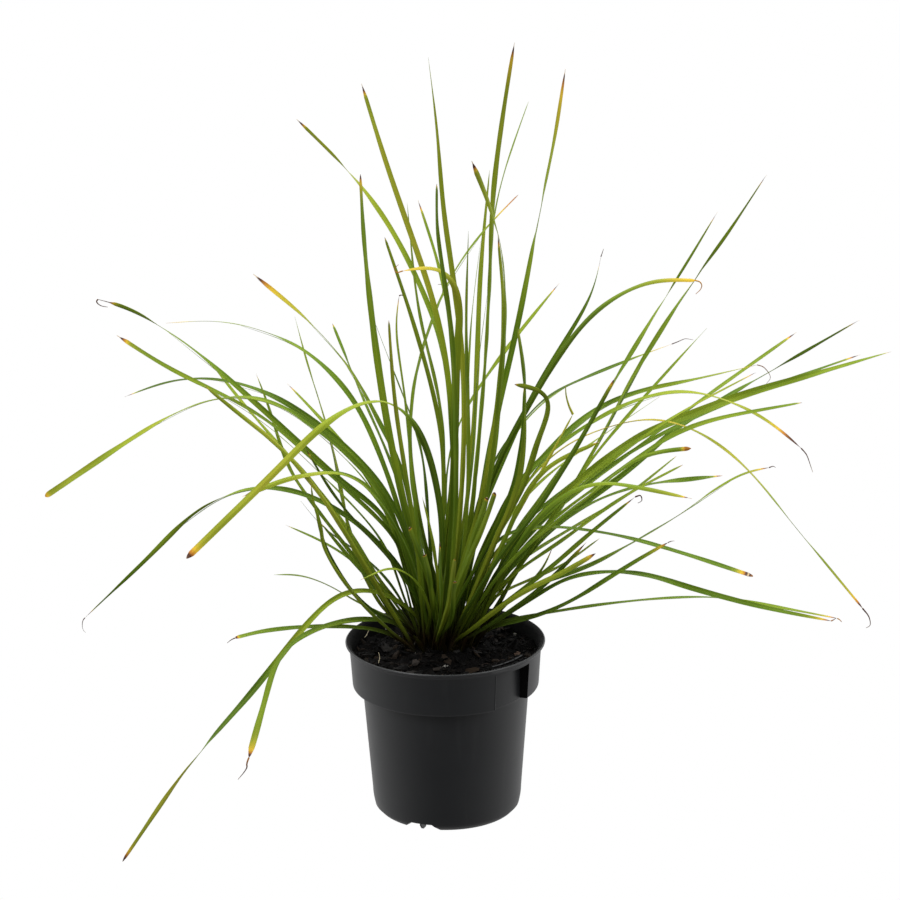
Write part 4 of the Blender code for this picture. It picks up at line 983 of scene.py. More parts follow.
def build_crumbs():
    """Pale crumbs and rootlets on the mix."""
    dice = random.Random(CRUMB_SEED)
    points = []
    faces = []
    for x, y, width in PALE_CRUMBS:
        x, y = x * MM, y * MM
        size = (width * MM, width * 0.8 * MM, width * 0.7 * MM)
        lump(points, faces, dice, (x, y, soil_height(x, y) + 0.35 * size[2]), size, 26)
    crumbs = link("pale_crumbs", mesh_from("pale_crumbs", points, faces, math.radians(40.0)),
                  pale_material("pale_crumb", (0.10, 0.10, 0.095), (0.34, 0.32, 0.28), 0.85))
    points = []
    faces = []
    for path in ROOTLETS:
        course = smooth_course(np.array(path) * MM, ROOTLET_STEPS)
        tube(points, faces, course, tapered(ROOTLET_RADIUS, 1.15, 0.7, ROOTLET_STEPS), 6)
    roots = link("rootlets", mesh_from("rootlets", points, faces, math.radians(80.0)),
                 pale_material("rootlet", (0.34, 0.28, 0.17), (0.62, 0.55, 0.38), 0.6))
    for piece in (crumbs, roots):
        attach(piece, "root")


def smooth_course(points, steps):
    """Evenly spaced points on a centripetal Catmull-Rom curve through the given points."""
    spread = [2.0 * points[0] - points[1], *points, 2.0 * points[-1] - points[-2]]
    dense = []
    for a, b, c, d in zip(spread, spread[1:], spread[2:], spread[3:]):
        t1 = math.sqrt(np.linalg.norm(b - a))
        t2 = t1 + math.sqrt(np.linalg.norm(c - b))
        t3 = t2 + math.sqrt(np.linalg.norm(d - c))
        for t in np.linspace(t1, t2, CURVE_STEPS, endpoint=False):
            a1 = a * ((t1 - t) / t1) + b * (t / t1)
            a2 = b * ((t2 - t) / (t2 - t1)) + c * ((t - t1) / (t2 - t1))
            a3 = c * ((t3 - t) / (t3 - t2)) + d * ((t - t2) / (t3 - t2))
            b1 = a1 * ((t2 - t) / t2) + a2 * (t / t2)
            b2 = a2 * ((t3 - t) / (t3 - t1)) + a3 * ((t - t1) / (t3 - t1))
            dense.append(b1 * ((t2 - t) / (t2 - t1)) + b2 * ((t - t1) / (t2 - t1)))
    dense = np.array([*dense, points[-1]])
    along = run_along(dense)
    wanted = np.linspace(0.0, along[-1], steps + 1)
    return np.stack([np.interp(wanted, along, dense[:, k]) for k in range(3)], axis=1)


def eased(course, reach):
    """A course with its small kinks smoothed and its ends kept."""
    head = 2.0 * course[0] - course[reach:0:-1]
    tail = 2.0 * course[-1] - course[-2:-reach - 2:-1]
    kernel = np.hanning(2 * reach + 3)[1:-1]
    kernel /= kernel.sum()
    padded = np.vstack([head, course, tail])
    return np.stack([np.convolve(padded[:, k], kernel, mode="valid") for k in range(3)], axis=1)


class Solid:
    """A frame node's points, each once, and which of them share an edge."""

    def __init__(self, node):
        mesh = frame["nodes"][node].data
        number = {}
        index = [number.setdefault(tuple(vertex.co), len(number)) for vertex in mesh.vertices]
        self.points = np.array(list(number))
        self.beside = [set() for _ in number]
        for edge in mesh.edges:
            a, b = (index[v] for v in edge.vertices)
            if a != b:
                self.beside[a].add(b)
                self.beside[b].add(a)

    def rings(self, first, closed=()):
        """The rings that follow on from a first ring up to the tip."""
        ring = set(first)
        done = ring | set(closed)
        found = []
        while ring:
            found.append(sorted(ring))
            ring = {n for p in ring for n in self.beside[p]} - done
            done |= ring
        return found

    def low_points(self, height):
        """The points of the crown: those near the axis up to a height."""
        near = np.linalg.norm(self.points[:, :2] - CROWN_MIDDLE, axis=1) < CROWN_REACH
        return set(np.nonzero(near & (self.points[:, 2] < height + 0.0001))[0].tolist())

    def middles(self, rings):
        """The middle of each ring."""
        return np.array([self.points[ring].mean(axis=0) for ring in rings])

    def widest(self, rings):
        """The largest distance between two points of one ring."""
        spans = (self.points[ring][:, None] - self.points[ring] for ring in rings)
        return max(float(np.linalg.norm(span, axis=2).max()) for span in spans)


def leaf_courses(node):
    """For each leaf of a node: its ring middles from the crown to its tip, and its width."""
    solid = Solid(node)
    if node.startswith("leaf"):
        rings = solid.rings(solid.low_points(CROWN_HEIGHT))
        return [(solid.middles(rings), solid.widest(rings))]
    sheath = solid.low_points(SHEATH_TOP)
    free = set(range(len(solid.points))) - sheath
    found = []
    while free:
        blade = {p for ring in solid.rings({min(free)}, sheath) for p in ring}
        free -= blade
        first = {p for p in blade if solid.beside[p] & sheath}
        cell = set().union(*(solid.beside[p] & sheath for p in first))
        rings = solid.rings(first, sheath)
        found.append((solid.middles([sorted(cell)] + rings), solid.widest(rings)))
    return sorted(found, key=lambda item: tuple(item[0][-1]))


def seen_from_front(point):
    """Where a point is seen on the upright plane through the axis, in millimetres."""
    share = -EYE.y / (point[1] - EYE.y)
    return (EYE.x + (point[0] - EYE.x) * share) / MM, (EYE.z + (point[2] - EYE.z) * share) / MM


def place_seen(across, up, behind):
    """The point at a distance behind the axis plane that is seen at (across, up) millimetres."""
    on_plane = Vector((across * MM, 0.0, up * MM))
    return EYE + (on_plane - EYE) * (1.0 + behind / -EYE.y)


# How leaves dry towards their tips.  The first pair gives the length of the thin point and of the
# taper below it in millimetres.  Then come (millimetres from the tip, age), where age runs from green
# over yellow, orange and dark brown to pale straw.
TIPS = {
    "plain": ((1.5, 7.0), (0.0, 0.2), (4.0, 0.0)),
    "cut": ((0.0, 2.5), (0.0, 0.56), (1.5, 0.46), (4.0, 0.24), (10.0, 0.1), (22.0, 0.0)),
    "blunt": ((0.0, 3.0), (0.0, 0.98), (0.9, 0.82), (2.0, 0.7), (2.8, 0.4), (4.5, 0.08), (8.0, 0.0)),
    "worn": ((0.0, 3.5), (0.0, 0.64), (2.0, 0.66), (3.6, 1.0), (5.2, 0.6), (8.0, 0.52), (13.0, 0.2),
        (20.0, 0.0)),
    "fresh": ((0.8, 5.0), (0.0, 0.8), (0.9, 0.66), (2.0, 0.34), (4.5, 0.06), (9.0, 0.0)),
    "pale": ((2.5, 6.0), (0.0, 1.0), (2.0, 0.95), (3.0, 0.34), (9.0, 0.08), (16.0, 0.0)),
    "pink": ((4.0, 9.0), (0.0, 0.97), (5.0, 0.94), (8.0, 0.26), (30.0, 0.16), (55.0, 0.0)),
    "straw": ((2.0, 12.0), (0.0, 0.5), (8.0, 0.44), (20.0, 0.32), (36.0, 0.08), (55.0, 0.0)),
    "lemon": ((1.5, 11.0), (0.0, 0.7), (1.5, 0.45), (5.0, 0.36), (20.0, 0.3), (45.0, 0.16),
        (80.0, 0.0)),
    "brown": ((3.0, 8.0), (0.0, 1.0), (2.6, 0.95), (3.6, 0.74), (6.5, 0.7), (7.5, 0.42), (11.0, 0.2),
        (26.0, 0.0)),
    "hooked": ((3.5, 5.0), (0.0, 0.97), (3.0, 0.92), (3.8, 0.76), (6.5, 0.72), (8.0, 0.46),
        (12.0, 0.18), (30.0, 0.05), (45.0, 0.0)),
    "burnt": ((1.0, 7.0), (0.0, 0.76), (3.0, 0.71), (4.5, 0.52), (9.0, 0.32), (18.0, 0.16),
        (30.0, 0.0)),
    "amber": ((0.5, 5.0), (0.0, 0.92), (1.5, 0.8), (4.0, 0.7), (6.5, 0.5), (14.0, 0.26), (40.0, 0.12),
        (70.0, 0.0)),
    "gold": ((3.0, 11.0), (0.0, 1.0), (3.5, 0.95), (5.5, 0.73), (9.0, 0.66), (14.0, 0.5), (26.0, 0.34),
        (60.0, 0.19), (95.0, 0.06), (120.0, 0.0)),
    "sere": ((3.0, 12.0), (0.0, 0.76), (12.0, 0.7), (18.0, 0.55), (24.0, 0.36), (40.0, 0.12),
        (60.0, 0.0)),
    "grey": ((3.0, 9.0), (0.0, 0.9), (4.0, 0.84), (7.0, 0.62), (9.0, 0.22), (16.0, 0.0)),
    "thread": ((10.5, 4.0), (0.0, 0.78), (9.0, 0.74), (11.0, 0.6), (12.5, 0.44), (15.0, 0.14),
        (22.0, 0.0)),
    "dead": ((0.0, 3.0), (0.0, 0.0), (60.0, 0.0)),
    "yellow": ((0.0, 2.5), (0.0, 0.6), (1.0, 0.42), (14.0, 0.34), (28.0, 0.2), (45.0, 0.07),
        (70.0, 0.0)),
    "rust": ((0.5, 3.0), (0.0, 0.62), (6.0, 0.6), (8.0, 0.16), (14.0, 0.0)),
    "ripe": ((3.0, 9.0), (0.0, 1.0), (2.8, 0.95), (4.5, 0.74), (8.0, 0.7), (10.0, 0.48), (20.0, 0.34),
        (38.0, 0.18), (60.0, 0.0)),
    "russet": ((0.5, 3.0), (0.0, 0.64), (6.0, 0.62), (14.0, 0.52), (26.0, 0.22), (44.0, 0.0)),
    "arched": ((0.5, 5.0), (0.0, 0.92), (1.5, 0.8), (4.0, 0.7), (6.5, 0.54), (14.0, 0.28), (40.0, 0.12),
        (90.0, 0.0), (150.0, 0.0), (190.0, 0.28), (290.0, 0.3), (340.0, 0.0)),
}

# A thin strip that goes on from a leaf's tip: where it is seen, its radius in millimetres, its ages.
Thread = namedtuple("Thread", "path radius ages", defaults=(0.40, (0.72, 0.86)))

# How one leaf looks.  Its tone goes from dark green at 0 to yellow-green at 1, as one number or at
# shares of its length.  The tip names how it dries, and end is its width there.  How wide it is seen
# at shares of its length is 1 from its face, 0 from its edge and below 0 from its back.  A thread
# goes on from its tip, and gain is how much wider it is than its solid.
Look = namedtuple("Look", "tone tip end seen thread gain",
                  defaults=(0.35, "brown", 0.22, None, None, 1.0))

LOOKS = {
    "leaf_01": Look(((0.5, 0.3), (0.64, 0.5), (0.8, 0.72)), "cut", 0.88,
        ((0.2, 0.9), (0.45, 0.8), (0.56, 0.55), (0.63, 0.3), (0.66, 0.08), (0.72, 0.1), (0.77, 0.35),
         (0.83, 0.65), (0.9, 0.95), (1.0, 0.95)), gain=1.1),
    "leaf_02": Look(((0.5, 0.28), (0.85, 0.1)), "grey", 0.35,
        ((0.2, 0.9), (0.6, 1.0), (0.68, 0.7), (0.76, 0.45), (0.9, 0.45), (1.0, 0.5))),
    "leaf_03": Look(((0.5, 0.36), (0.85, 0.46)), "thread", 0.75,
        ((0.2, 0.9), (0.63, 1.0), (0.71, 0.75), (0.75, 0.5), (0.8, 0.35), (0.835, 0.15), (0.87, 0.03),
         (0.895, -0.25), (0.94, -0.7), (0.965, -0.9), (1.0, -0.9)),
        Thread(((-255, 409), (-256.1, 407.4), (-255, 405.6), (-252.7, 404), (-248, 403)), 0.65,
               (0.7, 0.8))),
    "leaf_04": Look(((0.5, 0.34), (0.8, 0.48)), "hooked", 0.85,
        ((0.2, 0.9), (0.55, 0.8), (0.65, 0.5), (0.8, 0.85), (1.0, 0.9))),
    "leaf_05": Look(0.74, "pale", 0.35, ((0.2, 0.9), (0.6, 0.7), (0.8, 0.75), (0.92, 1.0), (1.0, 0.7))),
    "leaf_06": Look(0.62, "fresh", 0.4, ((0.2, 0.9), (0.6, 0.5), (0.8, 0.6), (0.92, 0.9), (1.0, 0.6))),
    "leaf_07": Look(0.48, "pale", 0.3, ((0.2, 0.9), (0.6, 0.6), (0.8, 0.75), (1.0, 0.5))),
    "leaf_08": Look(0.66, "plain", 0.1, ((0.2, 0.9), (0.6, 0.3), (0.8, 0.2), (0.9, 0.7), (1.0, 0.3))),
    "leaf_09": Look(((0.6, 0.42), (0.85, 0.7)), "gold", 0.8,
        ((0.1, 0.9), (0.55, 0.7), (0.68, 0.3), (0.74, 0.06), (0.82, 0.1), (0.88, 0.5), (0.94, 0.95),
         (1.0, 0.9))),
    "leaf_10": Look(((0.5, 0.36), (0.85, 0.5)), "straw", 0.35,
        ((0.1, 0.9), (0.55, 0.95), (0.64, 0.7), (0.72, 0.3), (0.78, 0.08), (1.0, 0.12))),
    "leaf_11": Look(((0.45, 0.2), (0.56, 0.55), (0.8, 0.76)), "amber", 0.88,
        ((0.15, 0.9), (0.42, 1.0), (0.5, 0.6), (0.56, 0.1), (0.62, 0.6), (0.7, 1.0), (1.0, 1.0))),
    "leaf_12": Look(((0.5, 0.28), (0.75, 0.68)), "brown", 0.85,
        ((0.15, 0.9), (0.5, 0.5), (0.62, 0.3), (0.7, 0.25), (0.78, 0.7), (0.85, 0.95), (1.0, 0.9))),
    "leaf_13": Look(((0.5, 0.2), (0.65, 0.58), (0.8, 0.52), (0.93, 0.3)), "grey", 0.28,
        ((0.2, 0.9), (0.5, 0.85), (0.57, 0.5), (0.62, 0.06), (0.7, -0.45), (0.77, -0.95), (0.85, -0.9),
         (0.93, -0.6), (1.0, -0.3)),
        Thread(((-275, 157), (-276.5, 155), (-277.3, 150.4), (-276.6, 147), (-275, 145)))),
    "leaf_14": Look(0.62, "pale", 0.3, ((0.2, 0.8), (0.6, 0.6), (0.85, 0.8), (1.0, 0.5))),
    "leaf_15": Look(((0.3, 0.62), (0.45, 0.75), (0.5, 0.35), (0.55, 0.12), (0.68, 0.1), (0.76, 0.9),
        (0.86, 1.0)), "amber", 0.6,
        ((0.15, 0.8), (0.3, 0.9), (0.45, 1.0), (0.58, 0.95), (0.65, 0.6), (0.7, 0.25), (0.727, 0.05),
         (0.78, -0.4), (0.85, -0.75), (0.92, -0.8), (1.0, -0.6)), gain=1.1),
    "leaf_16": Look(((0.5, 0.38), (0.85, 0.58)), "burnt", 0.85,
        ((0.15, 0.8), (0.4, 0.8), (0.55, 0.6), (0.8, 0.8), (0.9, 0.95), (1.0, 0.9)),
        Thread(((-153, 40), (-153.7, 38.4), (-154.8, 34.6), (-154.7, 32.3), (-156.8, 28.5), (-162, 22)),
               0.75, (0.6, 0.92)), gain=1.25),
    "leaf_17": Look(((0.5, 0.42), (0.9, 0.46)), "blunt", 0.8,
        ((0.2, 0.8), (0.6, 0.75), (1.0, 0.85)),
        Thread(((-161, 139), (-164, 137.5), (-167, 135)), 0.45)),
    "leaf_18": Look(0.5, "plain", 0.4, ((0.2, 0.6), (0.55, 0.25), (0.8, 0.35), (1.0, 0.5))),
    "leaf_19": Look(((0.4, 0.45), (0.68, 0.95), (0.88, 0.88), (0.95, 0.76)), "brown", 0.6,
        ((0.1, 0.9), (0.8, 1.0), (1.0, 0.85))),
    "leaf_20": Look(((0.6, 0.45), (0.85, 0.78)), "brown", 0.7,
        ((0.1, 0.9), (0.7, 0.95), (0.8, 0.95), (0.84, 0.5), (0.865, 0.06), (0.9, -0.4), (0.95, -0.75),
         (1.0, -0.7))),
    "leaf_21": Look(((0.5, 0.54), (0.8, 0.46)), "burnt", 0.6,
        ((0.1, 0.9), (0.55, 1.0), (0.8, 0.65), (1.0, 0.6))),
    "leaf_22": Look(0.74, "plain", 0.08, ((0.1, 0.95), (0.8, 0.95), (0.88, 0.8), (1.0, 0.3))),
    "leaf_23": Look(0.42, "fresh", 0.5, ((0.1, 0.9), (0.8, 0.85), (1.0, 0.6))),
    "leaf_24": Look(((0.5, 0.48), (0.68, 0.45), (0.82, 0.74)), "ripe", 0.5,
        ((0.1, 0.8), (0.35, 0.4), (0.55, 0.45), (0.7, 0.7), (0.8, 0.95), (1.0, 0.9))),
    "leaf_25": Look(((0.55, 0.4), (0.85, 0.66)), "gold", 0.55,
        ((0.1, 0.95), (0.6, 1.0), (0.69, 0.6), (0.73, 0.12), (0.765, 0.04), (0.82, 0.45), (0.9, 0.8),
         (1.0, 0.8))),
    "leaf_26": Look(((0.6, 0.45), (0.9, 0.66)), "brown", 0.85,
        ((0.1, 0.8), (0.55, 0.85), (0.68, 0.6), (0.78, 0.12), (0.85, 0.1), (0.9, 0.5), (0.95, 0.95),
         (1.0, 0.9))),
    "leaf_27": Look(((0.35, 0.34), (0.6, 0.4), (0.8, 0.74), (0.91, 1.0)), "lemon", 0.55,
        ((0.1, 0.9), (0.45, 0.8), (0.6, 1.0), (0.85, 1.0), (0.92, 0.6), (1.0, 0.5)),
        Thread(((-27, 428), (-32, 427), (-33, 430), (-30, 433)), 0.5, (0.56, 0.66)), gain=1.5),
    "leaf_28": Look(0.46, "russet", 0.4, ((0.1, 0.8), (0.55, 0.45), (0.8, 0.35), (1.0, 0.55))),
    "leaf_29": Look(((0.4, 0.74), (0.7, 0.55), (0.85, 0.35), (0.95, 0.45), (1.0, 0.9)), "plain", 0.6,
        ((0.1, 0.9), (0.55, 0.95), (0.65, 0.6), (0.74, 0.25), (0.8, 0.25), (0.88, 0.65), (0.95, 0.75),
         (1.0, 0.7))),
    "leaf_30": Look(((0.4, 0.6), (0.8, 0.62)), "fresh", 0.8,
        ((0.1, 0.9), (0.6, 1.0), (0.8, 0.9), (0.87, 0.7), (0.93, 0.9), (1.0, 0.85))),
    "leaf_31": Look(0.3, "grey", 0.12,
        ((0.1, 0.9), (0.86, 1.0), (0.91, 0.7), (0.95, 0.25), (1.0, 0.15)),
        Thread(((119, 437), (121, 443)))),
    "leaf_32": Look(((0.5, 0.14), (0.78, 0.26), (0.92, 0.5)), "yellow", 0.66,
        ((0.1, 0.9), (0.5, 1.0), (0.7, 0.9), (0.8, 0.75), (0.9, 0.7), (1.0, 0.85)),
        Thread(((184, 418), (187.5, 416.8), (189, 414), (188, 411), (184.5, 407.5)), 0.55,
               (0.5, 0.58))),
    "leaf_33": Look(((0.7, 0.08), (0.9, 0.35)), "straw", 0.15,
        ((0.1, 0.8), (0.5, 0.35), (0.65, 0.3), (0.72, 0.5), (0.8, 0.8), (0.88, 0.8), (0.93, 0.4),
         (1.0, 0.15)),
        Thread(((171, 369), (176, 371), (181, 373), (187, 372)))),
    "leaf_34": Look(0.48, "brown", 0.25,
        ((0.1, 0.9), (0.45, 0.5), (0.53, 0.25), (0.58, 0.6), (0.64, 0.95), (0.72, 0.6), (0.77, 0.05),
         (0.82, -0.6), (0.87, -0.95), (0.93, -0.7), (1.0, -0.4)), gain=0.9),
    "leaf_35": Look(0.48, "brown", 0.2,
        ((0.1, 0.9), (0.5, 0.4), (0.6, 0.35), (0.68, 0.95), (0.75, 0.55), (0.79, 0.05), (0.845, -0.55),
         (0.9, -0.95), (0.95, -0.7), (1.0, -0.4)), gain=0.9),
    "leaf_36": Look(((0.6, 0.36), (0.85, 0.58)), "amber", 0.18,
        ((0.1, 0.8), (0.8, 0.95), (0.86, 0.6), (0.92, 0.35), (1.0, 0.25)),
        Thread(((235, 352), (240, 350), (245, 342), (242, 337)), 0.4, (0.68, 0.72))),
    "leaf_37": Look(((0.3, 0.3), (0.55, 0.45), (0.7, 0.62), (0.85, 0.8)), "sere", 0.6,
        ((0.1, 0.9), (0.45, 0.8), (0.55, 0.6), (0.7, 0.55), (0.8, 0.35), (0.85, 0.2), (0.9, 0.65),
         (1.0, 0.6)),
        Thread(((268, 290), (272, 285), (275, 277), (277, 271)), 0.5, (0.72, 0.88))),
    "leaf_38": Look(((0.35, 0.45), (0.5, 0.88), (0.75, 0.88), (0.82, 0.45), (0.9, 0.45)), "arched",
        0.55,
        ((0.1, 0.8), (0.3, 0.5), (0.45, 0.15), (0.55, 0.25), (0.65, 0.5), (0.75, 0.4), (0.85, 0.03),
         (0.9, 0.35), (0.96, 0.75), (1.0, 0.6)),
        Thread(((318, 158), (323, 151), (324, 144), (321, 142)), 0.6)),
    "leaf_39": Look(0.52, "pale", 0.22,
        ((0.1, 0.8), (0.55, 0.9), (0.8, 1.0), (0.9, 0.8), (1.0, 0.5)), gain=1.3),
    "leaf_40": Look(0.32, "brown", 0.25,
        ((0.1, 0.8), (0.6, 0.9), (0.7, 0.8), (0.77, 0.15), (0.82, -0.3), (0.88, -0.85), (0.95, -0.6),
         (1.0, -0.3))),
    "leaf_41": Look(((0.5, 0.42), (0.9, 0.52)), "pink", 0.4,
        ((0.1, 0.9), (0.55, 0.8), (0.7, 0.5), (0.8, 0.7), (0.9, 0.95), (1.0, 0.8))),
    "leaf_42": Look(((0.5, 0.42), (0.85, 0.64)), "burnt", 0.45,
        ((0.1, 0.8), (0.45, 0.8), (0.52, 0.5), (0.55, 0.04), (0.78, 0.04), (0.85, 0.65), (1.0, 0.6)),
        Thread(((246, 271), (249, 272), (251, 271)), 0.5)),
    "leaf_43": Look(((0.5, 0.2), (0.7, 0.3)), "worn", 0.85,
        ((0.1, 0.8), (0.5, 0.35), (0.65, 0.55), (0.8, 0.72), (1.0, 0.8))),
    "leaf_44": Look(0.34, "burnt", 0.55,
        ((0.1, 0.8), (0.55, 0.65), (0.8, 0.9), (1.0, 0.8)),
        Thread(((169, 212), (171, 213), (174, 213.4)))),
    "leaf_45": Look(((0.5, 0.3), (0.9, 0.4)), "burnt", 0.35,
        ((0.1, 0.9), (0.45, 0.6), (0.55, 0.8), (0.62, 1.0), (1.0, 0.9)),
        Thread(((294, 147), (296, 147.9), (298, 149.4)), 0.5, (0.6, 0.72))),
    "leaf_46": Look(((0.6, 0.4), (0.9, 0.5)), "burnt", 0.35,
        ((0.1, 0.6), (0.7, 0.2), (0.8, 0.6), (1.0, 0.6)),
        Thread(((299, 148), (300.6, 147), (302.4, 145)), 0.5, (0.52, 0.62))),
}

# Leaves of the shoots that stand out, found by where their tips are seen in millimetres.
BROAD = ((0.1, 0.9), (1.0, 0.95))
HALF = ((0.1, 0.7), (1.0, 0.55))
THIN = Look(0.45, "plain", 0.10, ((0.1, 0.6), (0.5, 0.3), (0.6, 0.05), (1.0, 0.03)))
BEHIND = ((0.1, 0.7), (0.5, 0.5), (0.75, 0.25), (1.0, 0.08))
SHOOT_LOOKS = (
    ((130, 344), Look(((0.5, 0.12), (0.9, 0.24)), "brown", 0.65, BROAD)),
    ((187, 287), Look(0.42, "rust", 0.85, ((0.1, 0.8), (0.8, 0.5), (0.9, 0.95), (1.0, 1.0)))),
    ((211, 265), Look(0.36, "rust", 0.5,
        ((0.1, 0.9), (0.7, 0.3), (0.82, 0.35), (0.88, 0.95), (0.93, 0.9), (0.965, 0.25), (1.0, 0.3)),
        gain=1.2)),
    ((115, 204), Look(0.72, "burnt", 0.7, BROAD)),
    ((-31, 409), Look(((0.6, 0.42), (0.9, 0.66)), "burnt", 0.3,
        ((0.1, 0.8), (0.7, 0.5), (1.0, 0.6)),
        Thread(((-31, 409), (-29, 409.5), (-27, 408), (-26.5, 407)), 0.5))),
    ((-64, 185), Look(0.6, "fresh", 0.3, ((0.1, 0.6), (0.6, 0.3), (1.0, 0.5)))),
    ((39, 254), Look(0.5, "blunt", 0.8, BROAD)),
    ((-15, 205), Look(0.45, "blunt", 0.8, BROAD)),
    ((8, 201), Look(0.68, "fresh", 0.7, BROAD)),
    ((66, 555), Look(0.55, "plain", 0.5, ((0.1, 0.3), (0.6, 0.15), (0.9, 0.35), (1.0, 0.4)))),
    ((37, 504), Look(0.7, "plain", 0.2, ((0.1, 0.9), (0.9, 0.9), (1.0, 0.5)))),
    ((88, 417), Look(((0.5, 0.4), (0.85, 0.64)), "brown", 0.35,
        ((0.1, 0.5), (0.55, 0.3), (0.7, 0.5), (0.8, 0.85), (0.93, 0.8), (1.0, 0.5)))),
    ((-16, 482), Look(0.48, "brown", 0.45, ((0.1, 0.6), (0.6, 0.6), (1.0, 0.8)))),
    ((-24, 480), Look(0.5, "plain", 0.12, HALF)),
    ((-39, 390), Look(((0.5, 0.56), (0.85, 0.84)), "fresh", 0.45, BROAD)),
    ((-81, 388), Look(0.38, "fresh", 0.65,
        ((0.1, 0.8), (0.6, 0.6), (0.8, 0.5), (0.87, 0.12), (0.93, 0.85), (1.0, 0.9)))),
    ((-116, 342), Look(0.56, "brown", 0.3, ((0.1, 0.8), (0.8, 0.9), (0.93, 0.7), (1.0, 0.4)))),
    ((-26, 227), Look(0.45, "blunt", 0.85, BROAD)),
    ((33, 250), Look(0.52, "blunt", 0.8, BROAD)),
    ((8, 183), Look(0.4, "blunt", 0.85, BROAD)),
    ((-3, 215), Look(0.35, "grey", 0.35, HALF)),
    ((145, 249), Look(0.44, "grey", 0.4,
        BROAD,
        Thread(((145, 249), (149, 250), (150, 246), (147, 244)), 0.6, (0.72, 0.74)))),
    ((118, 293), Look(((0.5, 0.5), (0.8, 0.72)), "pale", 0.75, BROAD)),
    ((98, 315), Look(1.0, "plain", 0.5,
        HALF,
        Thread(((98, 315), (95, 322), (93, 330), (92.5, 337)), 1.0, (0.0, 0.2)))),
    ((-227, 304), THIN),
    ((-203, 382), THIN),
    ((-187, 345), THIN),
    ((-167, 344), THIN),
    ((-172, 330), THIN),
    ((83, 211), Look(0.45, "brown", 0.4, HALF)),
    ((108, 213), Look(0.18, "brown", 0.5, BROAD)),
    ((118, 216), Look(0.66, "fresh", 0.4, HALF)),
    ((-16, 251), Look(0.64, "plain", 0.2, HALF)),
    ((-41, 454), Look(0.56, "fresh", 0.5, BROAD)),
    ((198, 381), Look(0.54, "plain", 0.12,
        ((0.1, 0.7), (0.6, 0.6), (0.8, 0.8), (0.87, 0.95), (0.93, 0.5), (0.97, 0.2), (1.0, 0.1)))),
    ((265, 377), Look(((0.6, 0.36), (0.9, 0.58)), "brown", 0.55,
        ((0.1, 0.7), (0.6, 0.5), (0.8, 0.7), (0.9, 0.9), (0.97, 0.8), (1.0, 0.6)))),
    ((235, 346), Look(((0.6, 0.42), (0.9, 0.78)), "burnt", 0.3, HALF)),
    ((313, 359), Look(0.34, "brown", 0.45, ((0.1, 0.7), (0.8, 0.85), (1.0, 0.6)))),
    ((270, 322), Look(((0.5, 0.46), (0.85, 0.52)), "fresh", 0.4,
        ((0.1, 0.7), (0.55, 0.5), (0.8, 0.9), (1.0, 0.7)))),
    ((21, 458), Look(0.5, "plain", 0.12, HALF)),
    ((1, 408), Look(0.25, "burnt", 0.25,
        ((0.1, 0.4), (0.6, 0.2), (0.85, 0.3), (1.0, 0.5)),
        Thread(((1, 408), (1.5, 413), (0.5, 417), (-2, 417)), 0.5))),
    ((-120, 230), Look(0.45, "pale", 0.3, HALF)),
    ((176, 281), Look(0.56, "fresh", 0.4, HALF)),
    ((181, 274), Look(0.56, "fresh", 0.4, HALF)),
)
SAME_TIP = 4.0
BEHIND_DEPTH = 0.03
# The old leaf bases take the dark sheath colours, darkened further by the painted shade at the leaves'
# feet.
DRY_BASE = Look(0.30, "dead", 0.60)

# How the other leaves are drawn by chance, behind and in front: the middle, spread and most of
# their tones, their tips and their end widths.
HIDDEN_DRAWS = ((0.34, 0.18, 0.80), ("plain", "plain", "fresh"), (0.08, 0.20))
OPEN_DRAWS = (
    (0.35, 0.22, 0.95), ("fresh", "fresh", "plain", "pale", "brown", "brown", "grey"), (0.15, 0.50))
LEAST_TONE = 0.05


def drawn_look(draws, seen, dice):
    """A look by chance."""
    (middle, spread, most), tips, ends = draws
    tone = min(most, max(LEAST_TONE, dice.gauss(middle, spread)))
    return Look(tone, dice.choice(tips), dice.uniform(*ends), seen)


def look_of(node, course, dice):
    """A leaf's look: from the tables where it stands out, and otherwise by chance."""
    if node in LOOKS:
        return LOOKS[node]
    across, up = seen_from_front(course[-1])
    gaps = [math.hypot(across - place[0], up - place[1]) for place, _ in SHOOT_LOOKS]
    if min(gaps) < SAME_TIP:
        return SHOOT_LOOKS[gaps.index(min(gaps))][1]
    if course[-1][1] > BEHIND_DEPTH:
        return drawn_look(HIDDEN_DRAWS, BEHIND, dice)
    return drawn_look(OPEN_DRAWS, None, dice)


def turned_about(vectors, axes, angles):
    """Vectors turned about axes that are square to them."""
    return vectors * np.cos(angles)[:, None] + np.cross(axes, vectors) * np.sin(angles)[:, None]


def run_along(course):
    """How far each point of a course is from its start, along it."""
    return np.concatenate(([0.0], np.cumsum(np.linalg.norm(np.diff(course, axis=0), axis=1))))


def turns_seen(look, shares, sign):
    """How far a blade turns from facing the viewer, so that it is seen as wide as its look says."""
    places, widths = zip(*look.seen)
    wanted = sign * np.interp(shares, places, [math.acos(width) for width in widths])
    kernel = np.hanning(TURN_EASE)
    padded = np.pad(wanted, TURN_EASE // 2, mode="edge")
    return np.convolve(padded, kernel / kernel.sum(), mode="valid")


